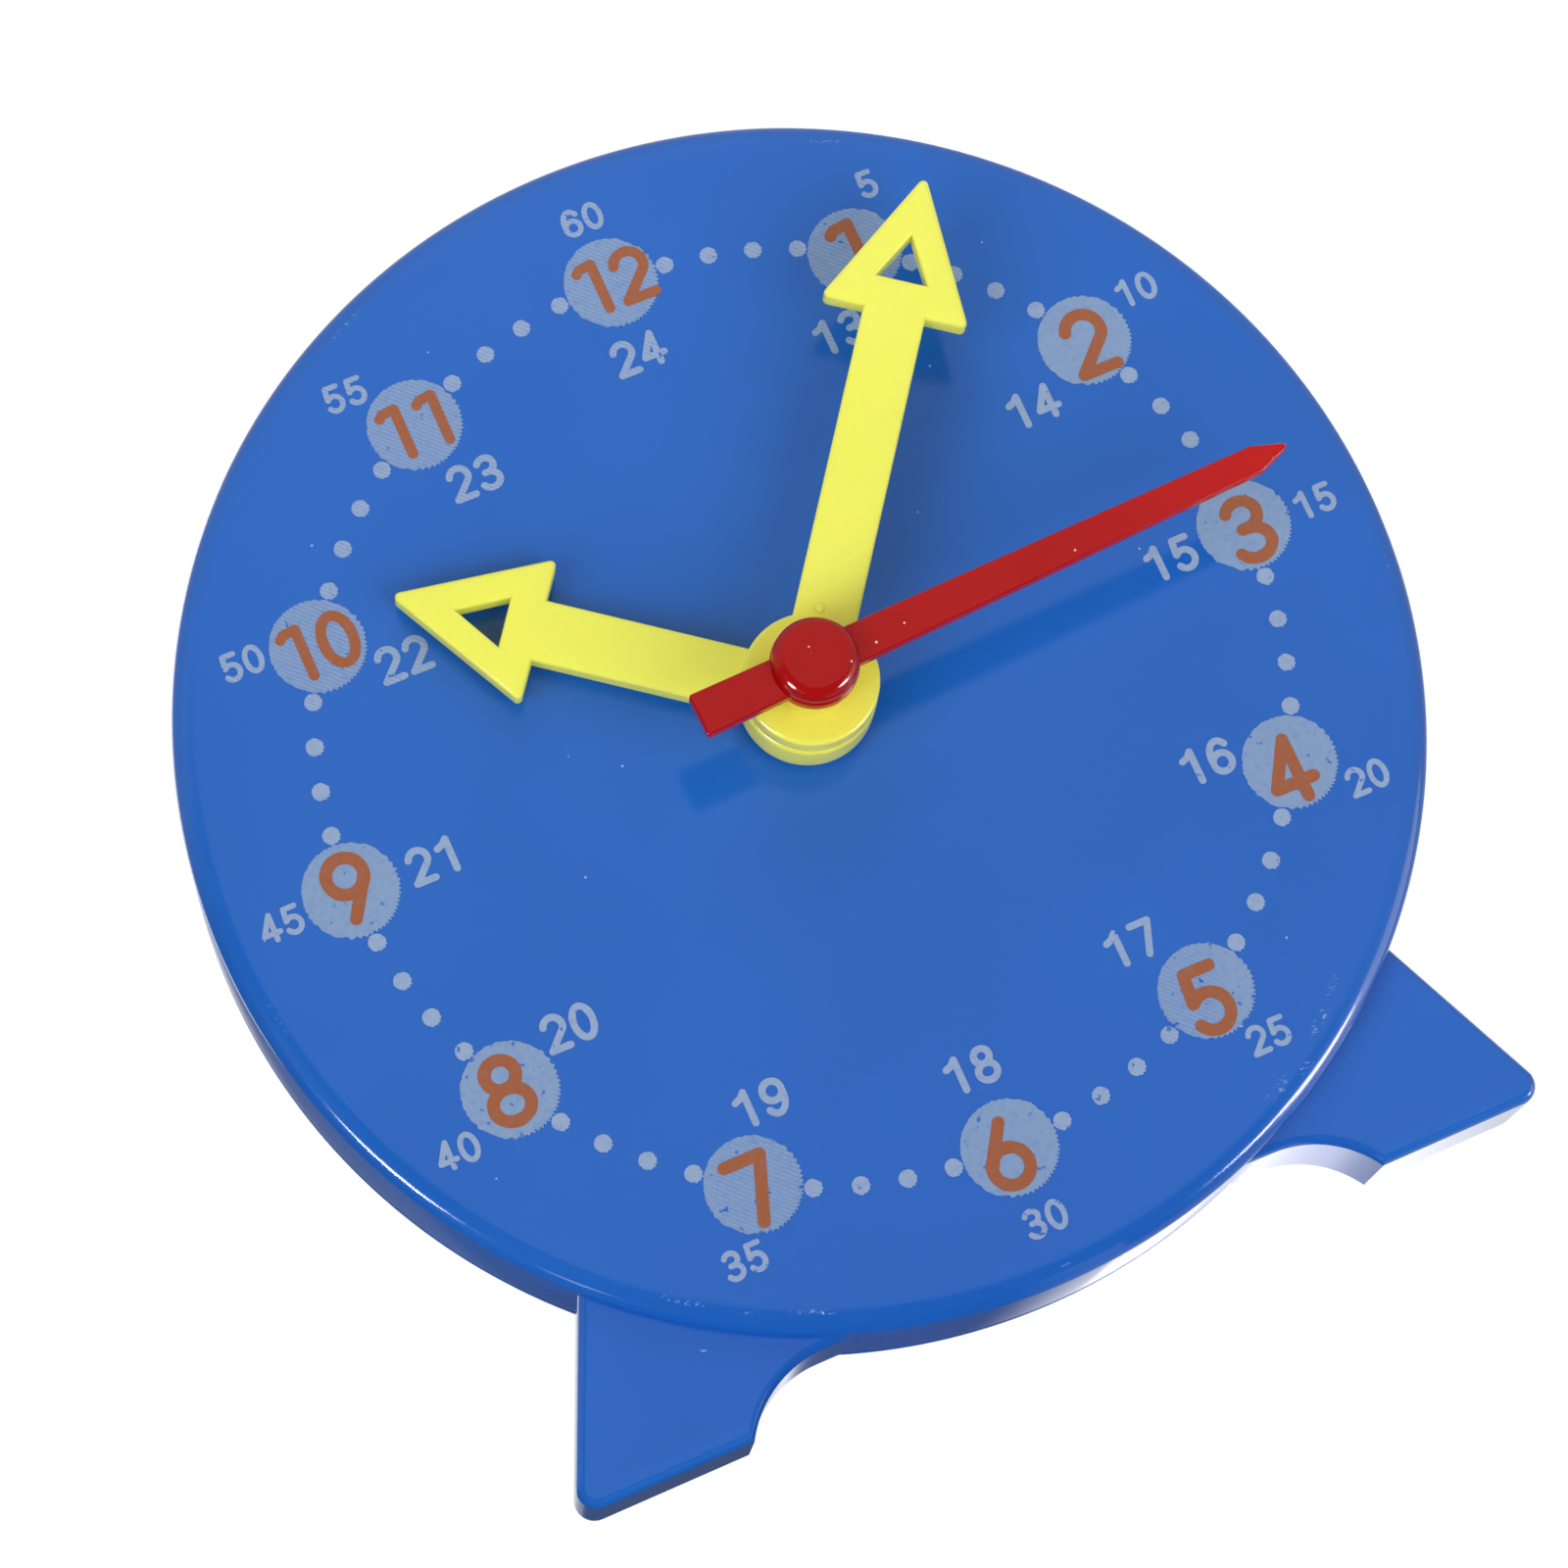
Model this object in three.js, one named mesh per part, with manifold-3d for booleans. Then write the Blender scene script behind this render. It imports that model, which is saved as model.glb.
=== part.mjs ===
// Teaching clock: a round case on two feet, a geared hour and minute hand, and a free second hand.
// Sizes are millimetres. +Z is up, X runs to the right seen from the front, and the dial faces -Y.
// Inside the clock's own group Y is the depth behind the dial face, so what stands in front of it is
// negative, and angles are clock angles: they start at 12 and grow the way the hands turn.

import * as THREE from 'three';
import { mergeVertices } from 'three/addons/utils/BufferGeometryUtils.js';
import Module from 'manifold-3d';

// Fits
const clearance = 0.3; // between pieces that touch or run on each other
const overrun = 1; // how far a cut passes the face it opens

// Case
const dialRadius = 50;
const dialRise = 1.4; // gap between the dial and the ground
const coverRoom = 0.6; // behind the transfer gear's screw, up to the cover
const faceThickness = 2;
const rimWall = 1.8;
const rimRound = 1.2; // rounding between the dial face and the rim
const collarRadius = 4.4; // raised ring under the hour hand
const collarHeight = 0.7;
const bearingRadius = 5; // ring behind the dial that the hour wheel runs on
const bearingHeight = 0.6;

// Feet
const footFront = 2.3; // dial face to the front of the feet
const footWall = 1.7;
const footEdge = 0.7; // softened front edge
const footSlope = THREE.MathUtils.degToRad(23.8); // outer edge from the vertical
const footRimAngle = THREE.MathUtils.degToRad(135.64); // where the outer edge meets the rim
const footTipRound = 1.6;
const soleLength = 14.9; // from the arch to the foot's unrounded outer corner
const archRadius = 9; // hollow on the inner side of each foot
const archTop = 4.35; // top of that hollow above the ground
const footRib = 1.4;

// Rear cover
const coverThickness = 1.5;
const coverRound = 0.8;
const spigotWall = 1.5;
const spigotDepth = 1.5;
const bushRadius = 4.6; // bush round the minute arbor, behind the cover
const bushLength = 1.2;

// Cover screws, their bosses in the case and their cups in the cover
const screwInset = 9; // from the rim to a screw's axis
const screwAngles = [45, 135, 225, 315].map(THREE.MathUtils.degToRad);
const screwShank = 1.1;
const screwLength = 6.8;
const screwHead = 2.7;
const screwHeadHeight = 1.4;
const bossRadius = 3;
const cupRadius = 4.2;
const cupFloor = 1.5;
const cupDepth = 2; // how far a cup reaches in from the cover

// Hands
const handThickness = 2;
const handEdge = 0.3; // softened edges of a hand
const handHub = 5.4;
const bladeWidth = 5.05;
const headLength = 12.2; // arrow head, from its base to its unrounded point
const headWidth = 12.4;
const handCorner = 0.1; // round of a hand's corners on its softened faces
const cutLength = 4; // triangular hole in the arrow head
const cutWidth = 4.2;
const cutOffset = 2.8; // from the head's base to the hole
const hourReach = 33.9;
const minuteReach = 43.6;
const hourCollar = 1.8; // rise of the hour hand's hub above its blade
const hourCollarRadius = 5.45;
const minuteBossRadius = 2.9;
const minuteBoss = 2.8; // rise of the minute hand's boss above its blade

// Second hand
const secondThickness = 1.2;
const secondReach = 41.4;
const secondTail = 10;
const secondTipLength = 2.6;
const secondTipWidth = 2.25;
const secondTailWidth = 3.55;
const secondPoint = 0.1; // width of the blunt point on its softened faces
const secondHub = 3.5;
const capRadius = 3.4;
const capHeight = 1.5;
const capRound = 1.1;
const capGroove = 0.15; // step between the hub ring and the cap
const pinRadius = 0.6;
const pinLength = 17.8;
const capTop = 0.7; // what the blind hole for the pin leaves of the cap

// Arbors: minute arbor, and the hour pipe round it
const arborRadius = 1.7;
const arborBore = pinRadius + clearance;
const pinionSeat = 2.3;
const arborCollar = 3.4;
const journalRadius = 2.4;
const pipeRadius = 3;
const keyDepth = 0.5; // of the flats that key the hands, the pinion and the knob

// Train
const centreDistance = 20; // main axis to the transfer post
const postAngle = Math.PI; // the post is straight below the main axis
const pressureAngle = THREE.MathUtils.degToRad(25);
const toothThinning = 0.25; // taken off every tooth at its pitch circle
const addendumShare = 0.9; // of the module
const dedendumShare = 1.25;
const flankSteps = 2;
const minuteTeeth = 12;
const transferWheelTeeth = 36;
const transferPinionTeeth = 10;
const hourTeeth = 40;
const hourWheelWidth = 2.2;
const spacerThickness = 0.5;
const spacerRadius = 3.6;
const pinionWidth = 2.4;
const transferWheelWidth = 2;
const wheelRim = 1.6; // under the teeth
const webRelief = 0.45; // how far the web lies below each face of a wheel
const hourWheelHub = 5.6;
const hourHoleRadius = 3;
const transferHub = 4.9;
const transferHoleRadius = 2.4;
const wheelHoles = 5;
const postRadius = 1.5;
const postBase = 2.8;
const postBore = 0.9;
const washerRadius = 3.2;
const washerThickness = 0.6;
const postScrewHead = 2;
const postScrewHeadHeight = 0.8;
const postScrewShank = 0.6;
const postScrewLength = 5;

// Knob
const knobRadius = 10;
const knobDepth = 6.4;
const knobStandOff = 0.6; // between the cover and the knob's skirt
const knobFlutes = 20;
const fluteDepth = 0.45;
const knobEdge = 0.8;
const knobWeb = 0.9; // behind the arbor's end, under the screw head
const knobRecessRoom = 0.6; // round the screw's head
const knobRecessDepth = 1.8;
const knobScrewHead = 2.8;
const knobScrewHeadHeight = 1.2;
const knobScrewLength = 6.5;
const ringSection = 0.6; // radius of the friction ring's section

// Rest position of the hands, as clock angles
const hourAngle = THREE.MathUtils.degToRad(306.9);
const minuteAngle = THREE.MathUtils.degToRad(36.3);
const secondAngle = THREE.MathUtils.degToRad(87.4);

// Facets
const rimSegments = 72;
const hubSegments = 30;
const holeSegments = 14;
const cornerSteps = 3;
const edgeSteps = 1;
const sectionSteps = 8;
const quarterTurn = Math.PI / 2;
const fullTurn = Math.PI * 2;

// Levels on the main axis, worked out from the front of the clock to its back
const hourFront = -(collarHeight + clearance + handThickness);
const hourHubFront = hourFront - hourCollar;
const minuteBack = hourHubFront - clearance;
const minuteFront = minuteBack - handThickness;
const minuteBossFront = minuteFront - minuteBoss;
const secondBack = minuteBossFront - clearance;
const secondFront = secondBack - secondThickness;
const capFront = secondFront - capHeight;
const arborFront = minuteBossFront + clearance;
const pipeFront = hourHubFront + clearance;
const wheelFront = faceThickness + bearingHeight + clearance;
const wheelBack = wheelFront + hourWheelWidth;
const spacerFront = wheelBack + clearance;
const spacerBack = spacerFront + spacerThickness;
const pinionFront = spacerBack + clearance;
const pinionBack = pinionFront + pinionWidth;

// Levels on the transfer post
const transferWheelMiddle = (pinionFront + pinionBack) / 2;
const transferWheelFront = transferWheelMiddle - transferWheelWidth / 2;
const transferWheelBack = transferWheelMiddle + transferWheelWidth / 2;
const transferBack = pinionBack;
const postBack = transferBack + clearance;
const washerFront = postBack + clearance;
const washerBack = washerFront + washerThickness;

// Levels of the case, its cover and the knob behind it
const frontDepth = washerBack + postScrewHeadHeight + coverRoom; // back edge of the front case
const coverInner = frontDepth + clearance;
const caseBack = coverInner + coverThickness;
const bushBack = caseBack + bushLength;
const knobFront = caseBack + knobStandOff;
const knobBack = knobFront + knobDepth;
const ringFront = caseBack + clearance;
const knobFloor = ringFront + 2 * ringSection + clearance;
const recessFloor = knobBack - knobRecessDepth;
const arborBack = recessFloor - knobWeb - clearance;
const caseInner = dialRadius - rimWall;
const dialHeight = dialRadius + dialRise;

// Levels on the cover screws
const cupFront = coverInner - cupDepth;
const screwSeat = cupFront + cupFloor;
const bossBack = cupFront - clearance;

const wasm = await Module();
wasm.setup();

function plastic(color, roughness = 0.3) {
  return new THREE.MeshStandardMaterial({ color, roughness, metalness: 0 });
}

const blue = plastic(0x3066b6);
const yellow = plastic(0xe9e462);
const red = plastic(0xbb1f1f);
const acetal = plastic(0xe9e7dd, 0.45);
const rubber = plastic(0x1d1d1f, 0.8);
const steel = new THREE.MeshStandardMaterial({ color: 0xb8bbc0, roughness: 0.35, metalness: 1 });

// A closed geometry as a solid that can be joined and cut
function solid(geometry) {
  geometry.deleteAttribute('normal');
  geometry.deleteAttribute('uv');
  const merged = mergeVertices(geometry);
  const corners = merged.index.array;
  const triangles = [];
  for (let i = 0; i < corners.length; i += 3) {
    const [a, b, c] = [corners[i], corners[i + 1], corners[i + 2]];
    if (a !== b && b !== c && c !== a) triangles.push(a, b, c);
  }
  return new wasm.Manifold(
    new wasm.Mesh({
      numProp: 3,
      vertProperties: new Float32Array(merged.attributes.position.array),
      triVerts: new Uint32Array(triangles),
    }),
  );
}

// A named mesh from a solid
function piece(name, body, material) {
  const { vertProperties, triVerts } = body.getMesh();
  const geometry = new THREE.BufferGeometry();
  geometry.setAttribute('position', new THREE.BufferAttribute(vertProperties, 3));
  geometry.setIndex(new THREE.BufferAttribute(triVerts, 1));
  geometry.computeVertexNormals();
  const mesh = new THREE.Mesh(geometry, material);
  mesh.name = name;
  return mesh;
}

const union = (first, ...others) => others.reduce((body, other) => body.add(other), first);
const cut = (first, ...others) => others.reduce((body, other) => body.subtract(other), first);

// The place at a radius and a clock angle, in the plane of the dial
const at = (radius, angle) => new THREE.Vector2(radius * Math.sin(angle), radius * Math.cos(angle));

const postPlace = at(centreDistance, postAngle);
const screwPlaces = screwAngles.map((angle) => at(dialRadius - screwInset, angle));

// A profile of [radius, depth] points turned about the main axis, moved to a place in the dial's plane
function turned(profile, segments, place = new THREE.Vector2()) {
  const points = profile.map(([radius, depth]) => new THREE.Vector2(radius, depth));
  return solid(new THREE.LatheGeometry(points, segments).translate(place.x, 0, place.y));
}

function disc(radius, front, back, segments = hubSegments, place = new THREE.Vector2()) {
  return turned([[0, front], [radius, front], [radius, back], [0, back]], segments, place);
}

function ring(bore, radius, front, back) {
  const profile = [[bore, front], [radius, front], [radius, back], [bore, back], [bore, front]];
  return turned(profile, hubSegments);
}

// A quarter of a circle from one [radius, depth] direction to the next
function quarter(centreRadius, centreDepth, round, from, steps = cornerSteps) {
  return Array.from({ length: steps + 1 }, (_, i) => {
    const angle = from + (quarterTurn * i) / steps;
    return [centreRadius + round * Math.cos(angle), centreDepth + round * Math.sin(angle)];
  });
}

// An outline in the dial's plane, drawn from one depth to another, with softened edges if wanted.
// Outlines and holes are both given clockwise, seen from the front.
function plate(outline, front, back, { holes = [], edge = 0 } = {}) {
  const shape = new THREE.Shape(outline);
  shape.holes = holes.map((hole) => new THREE.Path(hole.toReversed()));
  const geometry = new THREE.ExtrudeGeometry(shape, {
    depth: back - front - 2 * edge,
    bevelEnabled: edge > 0,
    bevelThickness: edge,
    bevelSize: edge,
    bevelOffset: -edge,
    bevelSegments: edgeSteps,
  });
  return solid(geometry.rotateX(quarterTurn).translate(0, back - edge, 0));
}

// Points on an arc in the dial's plane, with clock angles
function arc(centre, radius, from, to, steps) {
  return Array.from({ length: steps + 1 }, (_, i) => {
    const angle = from + ((to - from) * i) / steps;
    return at(radius, angle).add(centre);
  });
}

// A closed outline whose corners, given as [point, radius], are rounded
function rounded(corners) {
  return corners.flatMap(([corner, radius], i) => {
    if (radius === 0) return [corner];
    const before = corners.at(i - 1)[0].clone().sub(corner).normalize();
    const after = corners[(i + 1) % corners.length][0].clone().sub(corner).normalize();
    const halfAngle = Math.acos(before.dot(after)) / 2;
    const middle = before.clone().add(after).normalize();
    const centre = middle.clone().multiplyScalar(radius / Math.sin(halfAngle)).add(corner);
    const start = before.multiplyScalar(radius / Math.tan(halfAngle)).add(corner).sub(centre);
    const end = after.multiplyScalar(radius / Math.tan(halfAngle)).add(corner).sub(centre);
    const sweep = Math.atan2(start.cross(end), start.dot(end));
    const origin = new THREE.Vector2();
    return Array.from({ length: cornerSteps + 1 }, (_, k) =>
      start.clone().rotateAround(origin, (sweep * k) / cornerSteps).add(centre),
    );
  });
}

// A round section with one flat, which keys a shaft and what it carries
function flatted(radius) {
  const open = Math.acos((radius - keyDepth) / radius);
  return arc(new THREE.Vector2(), radius, open, fullTurn - open, hubSegments);
}

// Gears

const involute = (angle) => Math.tan(angle) - angle;
const moduleOf = (teethA, teethB) => (2 * centreDistance) / (teethA + teethB);

// A gear with involute flanks, and one tooth centred on a clock angle
function gearOutline(teeth, module, toothAngle) {
  const pitch = (teeth * module) / 2;
  const base = pitch * Math.cos(pressureAngle);
  const root = pitch - dedendumShare * module;
  const tip = pitch + addendumShare * module;
  const start = Math.max(root, base);
  const halfAt = (radius) =>
    (fullTurn / 4 / teeth) - toothThinning / 2 / pitch +
    involute(pressureAngle) - involute(Math.acos(Math.min(1, base / radius)));
  const flank = Array.from({ length: flankSteps }, (_, i) => {
    const radius = start + ((tip - start) * i) / (flankSteps - 1);
    return [radius, halfAt(radius)];
  });
  if (root < base) flank.unshift([root, halfAt(base)]);
  const middles = Array.from({ length: teeth }, (_, k) => toothAngle + (fullTurn * k) / teeth);
  return middles.flatMap((middle) => [
    ...flank.map(([radius, half]) => at(radius, middle - half)),
    ...flank.toReversed().map(([radius, half]) => at(radius, middle + half)),
  ]);
}

// The ring and the holes that lighten a wheel between its hub and its rim
function lightened(wheel, front, back, hub, rim, holeRadius) {
  const bare = wheel
    .subtract(ring(hub, rim, front - overrun, front + webRelief))
    .subtract(ring(hub, rim, back - webRelief, back + overrun));
  const holes = Array.from({ length: wheelHoles }, (_, i) =>
    disc(holeRadius, front - overrun, back + overrun, holeSegments,
      at((hub + rim) / 2, (fullTurn * i) / wheelHoles)),
  );
  return cut(bare, ...holes);
}

// Front case

const footRimPoint = at(dialRadius, footRimAngle);
const soleEnd = footRimPoint.x + (footRimPoint.y + dialHeight) * Math.tan(footSlope);
const soleStart = soleEnd - soleLength;
const archDrop = archRadius - archTop; // from the ground down to the arch's centre
const archCentreX = soleStart - Math.sqrt(archRadius ** 2 - archDrop ** 2);
const archCentre = new THREE.Vector2(archCentreX, -dialHeight - archDrop);

// The outline of the right foot, drawn in by a wall's thickness where its pocket is wanted
function footOutline(inset) {
  const ground = -dialHeight + inset;
  const edgeX = footRimPoint.x - inset / Math.cos(footSlope);
  const outerX = (y) => edgeX + (footRimPoint.y - y) * Math.tan(footSlope);
  const radius = archRadius + inset;
  const archEnd = Math.acos((archDrop + inset) / radius);
  const inside = caseInner * Math.cos(footRimAngle);
  const top = archCentre.y + radius;
  return [
    ...rounded([
      [new THREE.Vector2(outerX(inside), inside), 0],
      [new THREE.Vector2(outerX(ground), ground), Math.max(footTipRound - inset, 0)],
      [new THREE.Vector2(archCentre.x + radius * Math.sin(archEnd), ground), 0],
    ]),
    ...arc(archCentre, radius, archEnd, 0, 2 * cornerSteps).slice(1),
    new THREE.Vector2(Math.sqrt(caseInner ** 2 - top ** 2), top),
  ];
}

function foot(side) {
  const mirrored = (outline) => outline.map(({ x, y }) => new THREE.Vector2(side * x, y));
  const wallMiddle = dialRadius - rimWall / 2;
  const past = frontDepth + overrun;
  const tall = 2 * dialHeight;
  const behind = new THREE.BoxGeometry(2 * dialRadius, 2 * overrun, tall).translate(0, past, 0);
  const ribX = (side * (soleStart + soleEnd)) / 2;
  const rib = new THREE.BoxGeometry(footRib, past, tall).translate(ribX, past / 2, 0);
  const block = plate(mirrored(footOutline(0)), footFront, past, { edge: footEdge });
  const pocket = plate(mirrored(footOutline(footWall)), footFront + footWall, past)
    .subtract(disc(dialRadius, 0, past + overrun, rimSegments))
    .subtract(solid(rib));
  return block
    .subtract(solid(behind))
    .subtract(disc(wallMiddle, 0, past, rimSegments))
    .subtract(pocket);
}

function frontCase() {
  const shell = turned([
    [0, 0],
    ...quarter(dialRadius - rimRound, rimRound, rimRound, -quarterTurn),
    [dialRadius, frontDepth],
    [caseInner, frontDepth],
    [caseInner, faceThickness],
    [0, faceThickness],
  ], rimSegments);
  const inFace = faceThickness / 2;
  const bearingBack = faceThickness + bearingHeight;
  const raised = [
    disc(collarRadius, -collarHeight, inFace),
    disc(bearingRadius, inFace, bearingBack),
    disc(postBase, inFace, bearingBack, holeSegments, postPlace),
    disc(postRadius, inFace, postBack, holeSegments, postPlace),
    ...screwPlaces.map((place) => disc(bossRadius, inFace, bossBack, holeSegments, place)),
  ];
  const bores = [
    disc(pipeRadius + clearance, -collarHeight - overrun, bearingBack + overrun),
    disc(postBore, faceThickness, postBack + overrun, holeSegments, postPlace),
    ...screwPlaces.map((place) =>
      disc(screwShank + clearance, faceThickness, bossBack + overrun, holeSegments, place),
    ),
  ];
  return cut(union(shell, foot(1), foot(-1), ...raised), ...bores);
}

// Rear cover and its screws

function rearCover() {
  const spigot = caseInner - clearance;
  const spigotFront = coverInner - spigotDepth;
  const plateWithSpigot = turned([
    [0, coverInner],
    [spigot - spigotWall, coverInner],
    [spigot - spigotWall, spigotFront],
    [spigot, spigotFront],
    [spigot, coverInner],
    [dialRadius, coverInner],
    ...quarter(dialRadius - coverRound, caseBack - coverRound, coverRound, 0),
    [0, caseBack],
  ], rimSegments);
  const inCover = coverInner + coverThickness / 2;
  const raised = [
    disc(bushRadius, inCover, bushBack),
    ...screwPlaces.map((place) => disc(cupRadius, cupFront, inCover, holeSegments, place)),
  ];
  const bores = [
    disc(journalRadius + clearance, coverInner - overrun, bushBack + overrun),
    ...screwPlaces.flatMap((place) => [
      disc(screwHead + clearance, screwSeat, caseBack + overrun, holeSegments, place),
      disc(screwShank + clearance, cupFront - overrun, caseBack, holeSegments, place),
    ]),
  ];
  return cut(union(plateWithSpigot, ...raised), ...bores);
}

// A pan head screw whose head rests behind its seat
function screw(shank, length, head, headHeight, seat) {
  const under = seat + clearance;
  const round = headHeight / 2;
  return turned([
    [0, under - length],
    [shank / 2, under - length],
    [shank, under - length + shank],
    [shank, under],
    [head, under],
    ...quarter(head - round, under + headHeight - round, round, 0, edgeSteps),
    [0, under + headHeight],
  ], holeSegments);
}

// Hands

// An arrow hand that points at 12: a round hub, a straight blade and a head with a triangular hole
function arrowHand(reach, back) {
  const half = bladeWidth / 2;
  const wing = headWidth / 2;
  const base = reach - headLength;
  const leave = Math.asin(half / handHub);
  const point = (x, y) => new THREE.Vector2(x, y);
  const round = handEdge + handCorner;
  const head = rounded([
    [point(-half, base), 0],
    [point(-wing, base), round],
    [point(0, reach), round],
    [point(wing, base), round],
    [point(half, base), 0],
  ]);
  const hub = arc(new THREE.Vector2(), handHub, leave, fullTurn - leave, hubSegments);
  const hole = [
    point(-cutWidth / 2, base + cutOffset),
    point(0, base + cutOffset + cutLength),
    point(cutWidth / 2, base + cutOffset),
  ];
  return plate([...hub, ...head], back - handThickness, back, { holes: [hole], edge: handEdge });
}

function hourHand() {
  const back = -(collarHeight + clearance);
  const collar = disc(hourCollarRadius, hourHubFront, back - handThickness / 2);
  const seat = flatted(pipeRadius + clearance);
  const bore = plate(seat, hourHubFront - overrun, back + overrun);
  return union(arrowHand(hourReach, back), collar).subtract(bore);
}

function minuteHand() {
  const boss = disc(minuteBossRadius, minuteBossFront, minuteBack - handThickness / 2);
  const seat = flatted(arborRadius + clearance);
  const bore = plate(seat, minuteBossFront - overrun, minuteBack + overrun);
  return union(arrowHand(minuteReach, minuteBack), boss).subtract(bore);
}

function secondHand() {
  const tipStart = secondReach - secondTipLength;
  const edge = handEdge / 2;
  const blunt = edge + secondPoint / 2;
  const point = (x, y) => new THREE.Vector2(x, y);
  const outline = rounded([
    [point(-secondTailWidth / 2, -secondTail), edge + handCorner],
    [point(-secondTipWidth / 2, tipStart), edge + handCorner],
    [point(-blunt, secondReach), blunt],
    [point(blunt, secondReach), blunt],
    [point(secondTipWidth / 2, tipStart), edge + handCorner],
    [point(secondTailWidth / 2, -secondTail), edge + handCorner],
  ]);
  const blade = plate(outline, secondFront, secondBack, { edge });
  const hub = disc(secondHub, secondFront + capGroove, secondBack);
  const cap = turned([
    [0, capFront],
    ...quarter(capRadius - capRound, capFront + capRound, capRound, -quarterTurn),
    [capRadius, secondBack - secondThickness / 2],
    [0, secondBack - secondThickness / 2],
  ], hubSegments);
  const hole = disc(pinRadius + clearance, capFront + capTop, secondBack + overrun, holeSegments);
  return union(blade, hub, cap).subtract(hole);
}

// Arbors and wheels on the main axis

function minuteArbor() {
  const whole = union(
    plate(flatted(arborRadius), arborFront, minuteBack + 2 * clearance),
    disc(arborRadius, minuteBack + clearance, pinionFront + clearance),
    plate(flatted(pinionSeat), pinionFront, pinionBack + 2 * clearance),
    disc(arborCollar, pinionBack + clearance, frontDepth),
    disc(journalRadius, frontDepth - clearance, bushBack + clearance),
    plate(flatted(journalRadius), bushBack, arborBack),
  );
  return whole.subtract(disc(arborBore, arborFront - overrun, arborBack + overrun, holeSegments));
}

function minutePinion() {
  const module = moduleOf(minuteTeeth, transferWheelTeeth);
  const teeth = gearOutline(minuteTeeth, module, postAngle - minuteAngle);
  const bore = flatted(pinionSeat + clearance);
  return plate(teeth, pinionFront, pinionBack, { holes: [bore] });
}

function hourWheel() {
  const module = moduleOf(hourTeeth, transferPinionTeeth);
  const rim = (hourTeeth * module) / 2 - dedendumShare * module - wheelRim;
  const wheel = plate(gearOutline(hourTeeth, module, postAngle - hourAngle), wheelFront, wheelBack);
  const web = lightened(wheel, wheelFront, wheelBack, hourWheelHub, rim, hourHoleRadius);
  const pipe = disc(pipeRadius, -collarHeight, wheelFront + clearance);
  const seat = plate(flatted(pipeRadius), pipeFront, -collarHeight + clearance);
  const bore = disc(arborRadius + clearance, pipeFront - overrun, wheelBack + overrun);
  return union(web, pipe, seat).subtract(bore);
}

function secondPin() {
  const front = capFront + capTop + clearance;
  return disc(pinRadius, front, front + pinLength, holeSegments);
}

// Transfer gear on its post, drawn round its own axis

function transferGear() {
  const wheelModule = moduleOf(minuteTeeth, transferWheelTeeth);
  const pinionModule = moduleOf(hourTeeth, transferPinionTeeth);
  const towardsAxis = postAngle + Math.PI;
  const gapAt = (teeth) => towardsAxis + fullTurn / 2 / teeth;
  const rim = (transferWheelTeeth * wheelModule) / 2 - dedendumShare * wheelModule - wheelRim;
  const wheelTeeth = gearOutline(transferWheelTeeth, wheelModule, gapAt(transferWheelTeeth));
  const pinionOutline = gearOutline(transferPinionTeeth, pinionModule, gapAt(transferPinionTeeth));
  const blank = plate(wheelTeeth, transferWheelFront, transferWheelBack);
  const wheel = lightened(
    blank, transferWheelFront, transferWheelBack, transferHub, rim, transferHoleRadius,
  );
  const pinion = plate(pinionOutline, wheelFront, transferWheelFront + clearance);
  const hub = disc(postBase, transferWheelFront, transferBack);
  const bore = disc(postRadius + clearance, wheelFront - overrun, transferBack + overrun, holeSegments);
  return union(wheel, pinion, hub).subtract(bore);
}

// Knob

function settingKnob() {
  const steps = 4 * knobFlutes;
  const outline = Array.from({ length: steps }, (_, i) => {
    const angle = (fullTurn * i) / steps;
    return at(knobRadius - (fluteDepth * (1 - Math.cos(angle * knobFlutes))) / 2, angle);
  });
  const grip = plate(outline, knobFront, knobBack, { edge: knobEdge });
  const ringSpace = disc(bushRadius + 2 * clearance + 4 * ringSection, knobFront - overrun, knobFloor);
  const seatOutline = flatted(journalRadius + clearance);
  const seat = plate(seatOutline, knobFloor - overrun, recessFloor - knobWeb);
  const recess = disc(knobScrewHead + knobRecessRoom, recessFloor, knobBack + overrun);
  const hole = disc(postScrewShank + clearance, knobFloor, knobBack, holeSegments);
  return cut(grip, ringSpace, seat, recess, hole);
}

function frictionRing() {
  const middle = bushRadius + clearance + ringSection;
  const section = Array.from({ length: sectionSteps + 1 }, (_, i) => {
    const angle = (fullTurn * (i % sectionSteps)) / sectionSteps;
    return [middle + ringSection * Math.cos(angle), ringFront + ringSection + ringSection * Math.sin(angle)];
  });
  return turned(section, hubSegments);
}

// Assembly

const clock = new THREE.Group();
clock.position.set(0, (-capFront - knobBack) / 2, dialHeight);

function mounted(name, body, material, angle = 0, place = new THREE.Vector2()) {
  const mesh = piece(name, body, material);
  mesh.rotation.y = angle;
  mesh.position.set(place.x, 0, place.y);
  clock.add(mesh);
}

mounted('front_case', frontCase(), blue);
mounted('rear_cover', rearCover(), blue);
const coverScrew = screw(screwShank, screwLength, screwHead, screwHeadHeight, screwSeat);
screwPlaces.forEach((place, i) => mounted(`cover_screw_${i + 1}`, coverScrew, steel, 0, place));

mounted('hour_hand', hourHand(), yellow, hourAngle);
mounted('hour_wheel', hourWheel(), acetal, hourAngle);

const knobScrew = screw(postScrewShank, knobScrewLength, knobScrewHead, knobScrewHeadHeight, recessFloor);
mounted('minute_hand', minuteHand(), yellow, minuteAngle);
mounted('minute_arbor', minuteArbor(), acetal, minuteAngle);
mounted('minute_pinion', minutePinion(), acetal, minuteAngle);
mounted('setting_knob', settingKnob(), blue, minuteAngle);
mounted('knob_screw', knobScrew, steel, minuteAngle);

mounted('second_hand', secondHand(), red, secondAngle);
mounted('second_pin', secondPin(), steel, secondAngle);

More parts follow.
